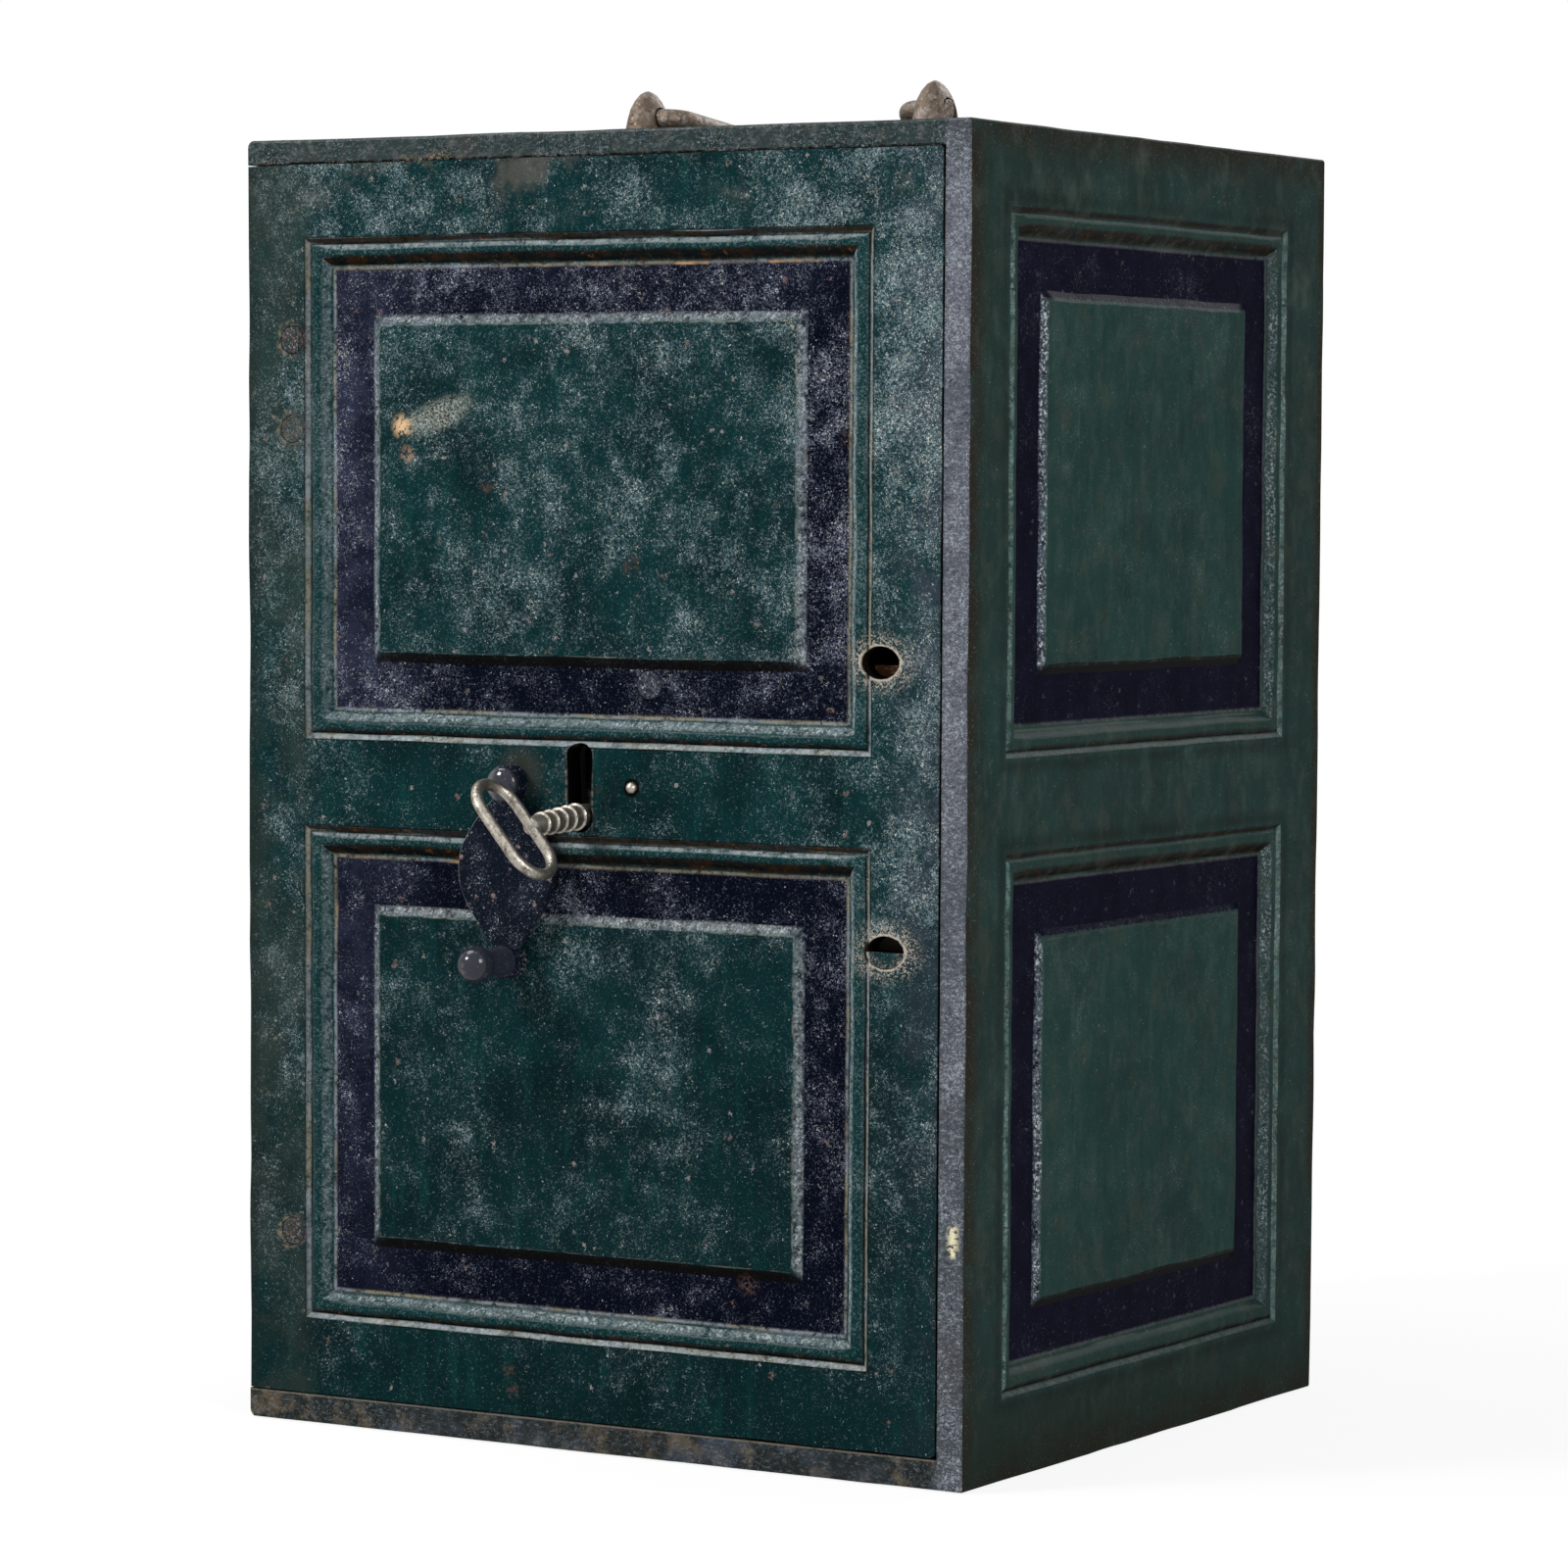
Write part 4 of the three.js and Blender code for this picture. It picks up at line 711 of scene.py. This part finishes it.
# Cuts the shapes out of a mesh and gives the mesh back
def cutAway(mesh, cutters):
    whole = placed("whole", mesh)
    gone = [whole]
    for i, bm in enumerate(cutters):
        tool = placed(f"cutter{i}", toMesh(bm, f"cutter{i}"))
        gone.append(tool)
        cut = whole.modifiers.new(f"cut{i}", "BOOLEAN")
        cut.operation, cut.solver, cut.object = "DIFFERENCE", "EXACT", tool
    graph = bpy.context.evaluated_depsgraph_get()
    bm = bmesh.new()
    bm.from_mesh(bpy.data.meshes.new_from_object(whole.evaluated_get(graph)))
    for each in gone:
        bpy.data.objects.remove(each)
    return smoothed(meshOf(ordered(bm), mesh.name))


# The steps of a moulded frame: how far in, and how far down
def reliefSteps(m):
    steps = [(0.4, 0.1), (m["edge"] - 0.3, m["edgeDrop"] - 0.1), (m["edge"] + 0.25, m["edgeDrop"])]
    start, top = m["edge"] + 0.25, m["edge"] + (m["bead"] - m["edge"]) * 0.4
    for i in range(1, m["steps"] + 1):
        inset = start + (m["bead"] - start) * i / m["steps"]
        if inset < top:
            share = math.sin((inset - start) / (top - start) * math.pi / 2)
            drop = m["edgeDrop"] + (m["crest"] - m["edgeDrop"]) * share
        else:
            share = math.cos((inset - top) / (m["bead"] - top) * math.pi / 2)
            drop = m["band"] * 0.92 + (m["crest"] - m["band"] * 0.92) * share
        steps.append((inset, drop))
    steps += [(m["foot"], m["band"]), (m["foot"] + 0.5, m["band"])]
    steps += [(m["field"] - m["bevel"] - 0.5, m["band"]), (m["field"] - m["bevel"], m["band"] - 0.05)]
    steps += [(m["field"] - 0.4, m["fieldDrop"] + 0.2), (m["field"] + 0.3, m["fieldDrop"])]
    return steps


# Cuts the outlines of panels and sinks them. axis 0: on the faces towards X; axis 1: on the front
def sinkPanels(bm, panels, axis):
    other = 1 - axis
    lines = [(2, centre + side * panels["up"] / 2) for centre in panels["centres"] for side in (-1, 1)]
    lines += [(other, panels["middle"] + side * panels["across"] / 2) for side in (-1, 1)]
    for way, at in lines:
        normal = [int(i == way) for i in range(3)]
        point = [at * mm * n for n in normal]
        geometry = bm.verts[:] + bm.edges[:] + bm.faces[:]
        bmesh.ops.bisect_plane(bm, geom=geometry, plane_co=point, plane_no=normal)
    found = []
    for face in bm.faces:
        middle = face.calc_center_median() / mm
        outward = abs(face.normal.x) > 0.9 if axis == 0 else face.normal.y < -0.9
        within = abs(middle[other] - panels["middle"]) < panels["across"] / 2 - 1
        if outward and within and min(abs(middle.z - c) for c in panels["centres"]) < panels["up"] / 2 - 1:
            found.append(face)
    for face in found:
        inset, drop = 0.0, 0.0
        for nextInset, nextDrop in reliefSteps(moulding):
            sizes = {"thickness": (nextInset - inset) * mm, "depth": (drop - nextDrop) * mm}
            bmesh.ops.inset_region(bm, faces=[face], use_even_offset=True, use_boundary=True, **sizes)
            inset, drop = nextInset, nextDrop


# Divides the long edges, so that a hand-made surface can waver
def divide(bm, cuts):
    for axis in range(3):
        other = [i for i in range(3) if i != axis]
        edges = []
        for edge in bm.edges:
            way = edge.verts[1].co - edge.verts[0].co
            if abs(way[axis]) > 0.05 and all(abs(way[i]) < 0.001 for i in other):
                edges.append(edge)
        bmesh.ops.subdivide_edges(bm, edges=edges, cuts=cuts, use_grid_fill=True)


# Lets the surface waver by a few tenths of a millimetre, never outwards past the box
def waver(bm, amount, size, seed, low, high):
    shift = Vector((seed, seed * 2, seed * 3))
    for vert in bm.verts:
        at = vert.co / (size * mm) + shift
        moved = vert.co + noise.noise_vector(at) * amount * mm
        vert.co = Vector([min(max(moved[i], low[i] * mm), high[i] * mm) for i in range(3)])


def edgesAlong(bm, axis, test):
    found = []
    for edge in bm.edges:
        way = (edge.verts[1].co - edge.verts[0].co).normalized()
        if abs(way[axis]) > 0.99 and test((edge.verts[0].co + edge.verts[1].co) / 2 / mm):
            found.append(edge)
    return found


def soften(bm, edges, offset, segments=3):
    how = {"offset_type": "OFFSET", "profile": 0.5, "affect": "EDGES", "material": -1}
    bmesh.ops.bevel(bm, geom=edges, offset=offset * mm, segments=segments, **how)


def keyholeCutters(y0, y1):
    k = keyhole
    shoulder = k["z"] + k["rise"] - k["top"] * 0.75
    slot = blockOf(k["x"] - k["neck"], k["x"] + k["neck"], y0, y1, k["z"], shoulder)
    upper = [v for v in slot.verts if v.co.z / mm > k["z"] + 5]
    for vert in upper:
        vert.co.x = (k["x"] + math.copysign(k["top"], vert.co.x / mm - k["x"])) * mm
    head = rod(k["top"], (k["x"], y0, 0), (k["x"], y1, 0))
    bmesh.ops.scale(head, vec=(1, 1, 0.75), verts=head.verts)
    bmesh.ops.translate(head, vec=(0, 0, shoulder * mm), verts=head.verts)
    return [slot, head, rod(k["round"], (k["x"], y0, k["z"]), (k["x"], y1, k["z"]))]


def pinBore(z, length):
    x, y = hingePin["x"], hingePin["y"]
    return rod(hingePin["radius"], (x, y, z), (x, y, z + length))


def addCasing(paint, inside, rim):
    c = casing
    halfWidth, halfDepth = c["width"] / 2, c["depth"] / 2
    bm = blockOf(-halfWidth, halfWidth, -halfDepth, halfDepth, 0, c["height"])
    soften(bm, edgesAlong(bm, 1, lambda m: m.x < 0), c["corner"], 4)
    soften(bm, [e for e in bm.edges if e.calc_face_angle(0) > 0.8], c["worn"], 3)
    sinkPanels(bm, sidePanels, 0)
    divide(bm, 22)
    waver(bm, 0.45, 24, 1.7, (-halfWidth, -halfDepth, 0), (halfWidth, halfDepth, c["height"]))
    for vert in bm.verts:
        if vert.co.z < 0.0005:
            vert.co.z = 0
    shell = toMesh(bm, "casingShell")
    cavityTop = c["height"] - c["top"]
    left, right = -halfWidth + c["left"], halfWidth - c["right"]
    cavity = blockOf(left, right, -halfDepth - 5, halfDepth + 5, c["bottom"], cavityTop)
    recess = blockOf(-halfWidth - 5, right, -halfDepth - 5, -halfDepth + c["gap"], c["bottom"], cavityTop)
    soften(recess, edgesAlong(recess, 1, lambda m: m.x > 0), c["recessCorner"], 4)
    cuts = [cavity, recess]
    cuts += [pinBore(z, 40) for z in (-20, 430)]
    x, y = lugPlace
    cuts += [rod(4.8, (side * x, y, 436), (side * x, y, 460)) for side in (-1, 1)]
    shell = cutAway(shell, cuts)
    plates = ("casing_top", "casing_bottom", "casing_left_side", "casing_right_side")
    made = piece("casingShell", shell, "casing", [paint, inside, rim], "green_paint", *plates)
    for face in shell.polygons:
        x, y, z = face.center / mm
        within = left - 0.2 < x < right + 0.2 and c["bottom"] - 0.2 < z < cavityTop + 0.2
        if within and y > -halfDepth + 2:
            face.material_index = 1
        elif y < -halfDepth + 1.5 and face.normal.y < -0.5:
            face.material_index = 2
    roundEdges(made, 0.4)


def roundEdges(made, width, angle=50):
    bevel = made.modifiers.new("roundedEdges", "BEVEL")
    bevel.width, bevel.segments, bevel.limit_method = width * mm, 2, "ANGLE"
    bevel.angle_limit = math.radians(angle)
    bevel.use_clamp_overlap = True
    even = made.modifiers.new("evenNormals", "WEIGHTED_NORMAL")
    even.keep_sharp = True


def addDoor(paint):
    low, high = (-145, doorFace, 10.5), (135, -123.5, 441.3)
    bm = blockOf(low[0], high[0], low[1], high[1], low[2], high[2])
    soften(bm, edgesAlong(bm, 1, lambda m: m.x > 0), 2.5, 4)
    soften(bm, edgesAlong(bm, 2, lambda m: m.x < -140 and m.y > -128), 4.2, 5)
    soften(bm, edgesAlong(bm, 2, lambda m: m.x < -140 and m.y < -132), 1.6, 4)
    sinkPanels(bm, frontPanels, 1)
    divide(bm, 24)
    waver(bm, 0.5, 24, 6.1, low, high)
    plate = toMesh(bm, "doorPlate")
    cuts = keyholeCutters(-140, -115)
    for x, z in ovalHoles.values():
        oval = rod(1, (0, -140, 0), (0, -115, 0))
        bmesh.ops.scale(oval, vec=(holeHalf[0], 1, holeHalf[1]), verts=oval.verts)
        bmesh.ops.translate(oval, vec=Vector((x, 0, z)) * mm, verts=oval.verts)
        cuts.append(oval)
    cuts += [rod(4.97, (x, -140, z), (x, -130.6, z)) for x, z in stileRivets]
    bores = (5.2, lockRivet, -126.8), (2.3, coverPivot, -115), (2.4, catchPin, -125.1)
    cuts += [rod(radius, (x, -140, z), (x, depth, z)) for radius, (x, z), depth in bores]
    cuts += [pinBore(z, 20) for z in (1.5, 430)]
    plate = cutAway(plate, cuts)
    made = piece("doorPlate", plate, "door", [paint], "green_paint", "door_panel")
    roundEdges(made, 0.35)


# A copy of a node whose shape is right, merged so that it can be shaded and rounded. flat: joins the
# triangles of each flat face, which a wide rounding needs
def refined(node, name, body, material, slot, width, flat=False):
    bm = bmesh.new()
    bm.from_mesh(nodes[node].data)
    bmesh.ops.remove_doubles(bm, verts=bm.verts, dist=0.000005)
    if flat:
        bmesh.ops.dissolve_limit(bm, angle_limit=math.radians(2), verts=bm.verts, edges=bm.edges)
    made = piece(name, smoothed(meshOf(bm, name), 32), body, [material], slot, node)
    if width:
        roundEdges(made, width, 42)
    return made


def spun(bm, geometry, centre, axis, steps, angle=math.tau):
    how = {"steps": steps, "use_merge": angle == math.tau, "dvec": (0, 0, 0)}
    return bmesh.ops.spin(bm, geom=geometry, cent=centre, axis=axis, angle=angle, **how)["geom_last"]


# A turned piece: a profile of radius and distance along Y, spun about an axis through x, z
def turned(profile, x, z):
    bm = bmesh.new()
    verts = [bm.verts.new((x * mm + radius * mm, y * mm, z * mm)) for radius, y in profile]
    edges = [bm.edges.new(pair) for pair in zip(verts, verts[1:])]
    spun(bm, verts + edges, (x * mm, 0, z * mm), (0, 1, 0), 56)
    return bm


# Carries a ring of points along: each move is a straight length or a bend about a centre
def sweepRod(radius, start, facing, moves, segments=20, closed=False):
    bm = bmesh.new()
    turn = Vector(facing).to_track_quat("Z", "Y").to_matrix().to_4x4()
    place = Matrix.Translation(Vector(start) * mm) @ turn
    bmesh.ops.create_circle(bm, cap_ends=not closed, segments=segments, radius=radius * mm, matrix=place)
    ends = bm.edges[:]
    for move in moves:
        if "along" in move:
            made = bmesh.ops.extrude_edge_only(bm, edges=ends)["geom"]
            fresh = [g for g in made if isinstance(g, bmesh.types.BMVert)]
            bmesh.ops.translate(bm, vec=Vector(move["along"]) * mm, verts=fresh)
            ends = [g for g in made if isinstance(g, bmesh.types.BMEdge) and all(v in fresh for v in g.verts)]
        else:
            angle = math.radians(move["angle"])
            made = spun(bm, ends, Vector(move["centre"]) * mm, move["axis"], move["steps"], angle)
            ends = [g for g in made if isinstance(g, bmesh.types.BMEdge)]
    if not closed:
        bmesh.ops.edgeloop_fill(bm, edges=ends)
    return bm


def joined(parts, name):
    whole = bmesh.new()
    for bm in parts:
        bmesh.ops.recalc_face_normals(bm, faces=bm.faces)
        mesh = meshOf(bm, "part")
        whole.from_mesh(mesh)
        bpy.data.meshes.remove(mesh)
    return smoothed(meshOf(ordered(whole), name))


# White for the camera and for what mirrors or shows through, but not as a light
def backdropShare(tree):
    path = tree.nodes.new("ShaderNodeLightPath")
    rays = ("Camera", "Glossy", "Transmission")
    seen, mirrored, through = (Wire(tree, path.outputs[f"Is {ray} Ray"]) for ray in rays)
    return seen.most(mirrored).most(through)


# One shader where the share is 0, the other where it is 1
def mixInto(surface, share, first, second):
    mix = share.tree.nodes.new("ShaderNodeMixShader")
    for i, socket in enumerate((share.socket, first.outputs[0], second.outputs[0])):
        share.tree.links.new(socket, mix.inputs[i])
    share.tree.links.new(mix.outputs[0], surface)


def addFloor():
    material = bpy.data.materials.new("paleFloor")
    material.use_nodes = True
    tree = material.node_tree
    shader = tree.nodes["Principled BSDF"]
    shader.inputs["Base Color"].default_value = (0.9, 0.9, 0.9, 1)
    shader.inputs["Roughness"].default_value = 0.9
    glow = tree.nodes.new("ShaderNodeEmission")
    glow.inputs["Color"].default_value = (1, 1, 1, 1)
    glow.inputs["Strength"].default_value = 1.0
    place = Wire(tree, tree.nodes.new("ShaderNodeTexCoord").outputs["Object"])
    x, y = (place.node("ShaderNodeSeparateXYZ", {0: place}, output=i) for i in (0, 1))
    far = (x * x + y * y) ** 0.5
    share = backdropShare(tree) * far.step(0.25, 1.6, (0.86, 1.0))
    mixInto(tree.nodes["Material Output"].inputs["Surface"], share, shader, glow)
    bm = bmesh.new()
    bmesh.ops.create_grid(bm, x_segments=1, y_segments=1, size=6)
    bmesh.ops.translate(bm, vec=(0, 0, -0.0005), verts=bm.verts)
    mesh = meshOf(bm, "floor")
    mesh.materials.append(material)
    floor = placed("floor", mesh)


def addWorld():
    world = bpy.data.worlds.new("studio")
    bpy.context.scene.world = world
    world.use_nodes = True
    tree = world.node_tree
    tree.nodes.clear()
    out = tree.nodes.new("ShaderNodeOutputWorld")
    light = tree.nodes.new("ShaderNodeBackground")
    light.inputs["Color"].default_value = (0.93, 0.96, 1, 1)
    light.inputs["Strength"].default_value = 0.15
    white = tree.nodes.new("ShaderNodeBackground")
    white.inputs["Color"].default_value = (1, 1, 1, 1)
    mixInto(out.inputs[0], backdropShare(tree), light, white)


# Building

addCamera(camera)
addLamps(lamps)
addWorld()
addFloor()
bpy.context.scene.view_settings.view_transform = "Standard"
print("camera, lamps and floor placed")

paints = {
    "door": doorPaint(),
    "casing": casingPaint(),
    "rim": rimPaint(),
    "cover": coverPaint(),
    "knob": coverPaint("knobPaint", 0.6, 0.25, "23262f"),
    "steel": wornSteel(),
    "iron": darkIron(),
    "inside": innerIron(),
    "rust": rustedIron(),
    "browned": brownedIron(),
    "rivet": rivetPaint(),
}
print("finishes made")

addCasing(paints["casing"], paints["inside"], paints["rim"])
print("casing made")
addDoor(paints["door"])
print("door made")

key = {
    "rings": (2.4, 7.7, 13.0, 18.3, 23.6),
    "ridge": 0.8,
    "shank": 4.1,
    "bowEnd": 51.7,
    "bowLong": 42.1,
    "bowShort": 23.9,
    "wire": 3.9,
    "turn": -45,
    "bowTurn": 5,
    "sag": 0.063,
}
ringProfile = ((-1.1, 0), (-0.75, 0.15), (-0.4, 0.8), (0, 1), (0.4, 0.8), (0.75, 0.15), (1.1, 0))


def addKey(k, material):
    x, z, front = keyhole["x"], keyhole["z"], doorFace
    profile = [(0, -99.2), (2.4, -99.2), (2.6, -99.5), (2.6, -101.9)]
    profile += [(k["shank"], -103), (k["shank"], front - 0.6)]
    last = k["rings"][-1]
    ridge = k["ridge"]
    for ahead in k["rings"]:
        narrow = k["shank"] - 0.7 * ahead / last
        for offset, rise in ringProfile:
            profile.append((narrow + ridge * rise, front - ahead - offset * ridge))
    near = front - k["bowEnd"] + k["bowShort"] - k["wire"] / 2
    profile += [(k["shank"] - 0.85, near + 0.6), (k["shank"] - 1.4, near - 0.6), (0, near - 1.2)]
    shank = turned(profile, x, z)
    bit = blockOf(x - 3, x + 3, -119, -103, z, z + 23.5)
    for vert in bit.verts:
        if vert.co.z / mm < z + 1:
            vert.co.x += math.copysign(0.6 * mm, x * mm - vert.co.x)
    wards = [blockOf(x - 6, x + 6, y, y + 1.7, z + 16.5, z + 25) for y in (-117.6, -106.1)]
    bitMesh = cutAway(toMesh(bit, "bit"), wards)
    bit = bmesh.new()
    bit.from_mesh(bitMesh)
    outer = (k["bowShort"] - k["wire"]) / 2
    middle = front - k["bowEnd"] + k["bowShort"] / 2
    straight = k["bowLong"] - k["bowShort"]
    top, bottom = z + straight / 2, z - straight / 2
    bow = sweepRod(
        k["wire"] / 2,
        (x, middle + outer, z - straight / 2),
        (0, 0, 1),
        [
            {"along": (0, 0, straight)},
            {"centre": (x, middle, top), "axis": (1, 0, 0), "angle": 180, "steps": 16},
            {"along": (0, 0, -straight)},
            {"centre": (x, middle, bottom), "axis": (1, 0, 0), "angle": 180, "steps": 16},
        ],
        closed=True,
    )
    bmesh.ops.remove_doubles(bow, verts=bow.verts, dist=0.00002)
    around = Matrix.Rotation(math.radians(k["bowTurn"]), 3, "Y")
    bmesh.ops.rotate(bow, cent=Vector((x, 0, z)) * mm, matrix=around, verts=bow.verts)
    mesh = joined([shank, bit, bow], "key")
    turn = Matrix.Rotation(math.radians(k["turn"]), 4, "Y")
    centre = Matrix.Translation(Vector((x, 0, z)) * mm)
    mesh.transform(centre @ turn @ centre.inverted())
    for vert in mesh.vertices:
        vert.co.z -= k["sag"] * max(0, front * mm - vert.co.y)
    piece("keyPiece", mesh, "key", [material], "worn_steel", "key")


addKey(key, paints["steel"])
print("key made")

knob = {"neck": 4.9, "ball": 6.4, "centre": 23, "seat": 6.9, "z": 228.5 - 60.6}


def addKnob(k, material):
    front = doorFace
    profile = [(0, front - 0.3), (2.0, front - 0.3), (2.0, front - k["seat"])]
    profile += [(k["neck"] * 1.12, front - k["seat"]), (k["neck"] * 1.12, front - k["seat"] - 1.2)]
    profile += [(k["neck"], front - k["seat"] - 2.2)]
    tuck = math.asin(k["neck"] * 0.92 / k["ball"])
    for i in range(19):
        angle = tuck + (math.pi - tuck) * i / 18
        profile.append((k["ball"] * math.sin(angle), front - k["centre"] + k["ball"] * math.cos(angle)))
    mesh = toMesh(turned(profile, coverPivot[0], k["z"]), "coverKnob")
    piece("coverKnob", mesh, "cover", [material], "blue_black_paint", "cover_knob")


addKnob(knob, paints["knob"])
pivotHead = {"seat": 6.3, "radius": 6.1, "rise": 3.8}


def addPivotHead(p, material):
    seat = doorFace - p["seat"]
    profile = [(0, -120.2), (2.0, -120.2), (2.0, seat), (p["radius"], seat), (p["radius"], seat - 0.9)]
    for i in range(1, 11):
        angle = math.pi / 2 * i / 10
        radius = p["radius"] * math.cos(angle)
        profile.append((radius, seat - 0.9 - (p["rise"] - 0.9) * math.sin(angle)))
    mesh = toMesh(turned(profile, *coverPivot), "pivotHead")
    piece("pivotHead", mesh, "door", [material], "blue_black_paint", "cover_pivot_screw")


addPivotHead(pivotHead, paints["knob"])
refined("keyhole_cover", "coverLeaf", "cover", paints["cover"], "blue_black_paint", 1.3, flat=True)
print("cover made")

lug = {"across": 15.4, "along": 22.5, "high": 22.5, "bore": 4.6, "top": 450, "pivot": 462}
# Share of the half width, and height above the top plate
lugShape = [(1, 0.3), (1, 2), (0.98, 6), (0.94, 9), (0.86, 12.5)]
lugShape += [(0.74, 16), (0.56, 19), (0.34, 21.3), (0.14, 22.3)]


def addLug(name, side, node, material):
    x, y = side * lugPlace[0], lugPlace[1]
    bm = bmesh.new()
    points = [(0, 0.3)] + [(r * lug["across"] / 2, h) for r, h in lugShape] + [(0, lug["high"] + 0.2)]
    verts = [bm.verts.new((r * mm, 0, h * mm)) for r, h in points]
    edges = [bm.edges.new(pair) for pair in zip(verts, verts[1:])]
    spun(bm, verts + edges, (0, 0, 0), (0, 0, 1), 48)
    bmesh.ops.remove_doubles(bm, verts=bm.verts, dist=0.00001)
    bmesh.ops.scale(bm, vec=(0.985, lug["along"] / lug["across"] * 0.985, 1), verts=bm.verts)
    bmesh.ops.translate(bm, vec=Vector((x, y, lug["top"])) * mm, verts=bm.verts)
    waver(bm, 0.35, 6, side * 3.3, (-70, -20, 450.3), (70, 10, 472.7))
    bore = rod(lug["bore"], (side * 40, y, lug["pivot"]), (side * 80, y, lug["pivot"]))
    dome = cutAway(toMesh(bm, name), [bore])
    bm = bmesh.new()
    bm.from_mesh(dome)
    stem = rod(4.5, (x, y, 451), (x, y, 440))
    burr = rod(6.5, (x, y, 441.1), (x, y, 438.8), endRadius=5.6)
    mesh = joined([bm, stem, burr], name)
    made = piece(name, mesh, "casing", [material], "browned_iron", node)
    roundEdges(made, 0.4)


addLug("lugLeft", -1, "lug_left", paints["browned"])
addLug("lugRight", 1, "lug_right", paints["browned"])

bail = {"rod": 4.0, "arm": 46.7, "end": 65.2, "elbow": 6.5, "corner": 17, "reach": 76}


def addBail(b, material):
    down = -math.asin((12 - b["rod"] - 0.3) / b["reach"])
    arm, reach, corner, elbow = b["arm"], b["reach"], b["corner"], b["elbow"]
    bm = sweepRod(
        b["rod"],
        (-b["end"], 0, 0),
        (1, 0, 0),
        [
            {"along": (b["end"] - arm - elbow, 0, 0)},
            {"centre": (-arm - elbow, elbow, 0), "axis": (0, 0, 1), "angle": 90, "steps": 8},
            {"along": (0, reach - corner - elbow, 0)},
            {"centre": (-arm + corner, reach - corner, 0), "axis": (0, 0, 1), "angle": -90, "steps": 12},
            {"along": (2 * (arm - corner), 0, 0)},
            {"centre": (arm - corner, reach - corner, 0), "axis": (0, 0, 1), "angle": -90, "steps": 12},
            {"along": (0, -(reach - corner - elbow), 0)},
            {"centre": (arm + elbow, elbow, 0), "axis": (0, 0, 1), "angle": 90, "steps": 8},
            {"along": (b["end"] - arm - elbow, 0, 0)},
        ],
        segments=24,
    )
    mesh = toMesh(bm, "bailRod")
    pivot = Vector((0, lugPlace[1], lug["pivot"])) * mm
    mesh.transform(Matrix.Translation(pivot) @ Matrix.Rotation(down, 4, "X"))
    made = piece("bailRod", mesh, "bail", [material], "dark_iron", "bail_handle")
    roundEdges(made, 0.5)


addBail(bail, paints["browned"])
print("lugs and bail made")

# The catch spring, copied from its node, with a mesh of its own
spring = refined("catch_spring", "catchSpring", "door", paints["steel"], "worn_steel", 0)
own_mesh(spring)
print("catch spring made")

byNode = {"casing_back": "casing", "broken_plug": "door", "lock_plate": "rust", "lock_rivet": "rivet"}
slots = {s["node"]: s["material_slot"] for s in frame["record"]["subparts"]}
finishOf = {
    "green_paint": "door",
    "dark_green_paint": "casing",
    "blue_black_paint": "cover",
    "worn_steel": "steel",
    "dark_iron": "iron",
    "browned_iron": "browned",
    "rusted_iron": "rust",
}
bodyOf = {n: b for b, members in frame["record"]["behaviour"]["bodies"].items() for n in members}
for node in sorted(set(nodes) - shown):
    finish = paints[byNode.get(node, finishOf[slots[node]])]
    refined(node, node + "Piece", bodyOf[node], finish, slots[node], 0.25)
print("remaining pieces made")
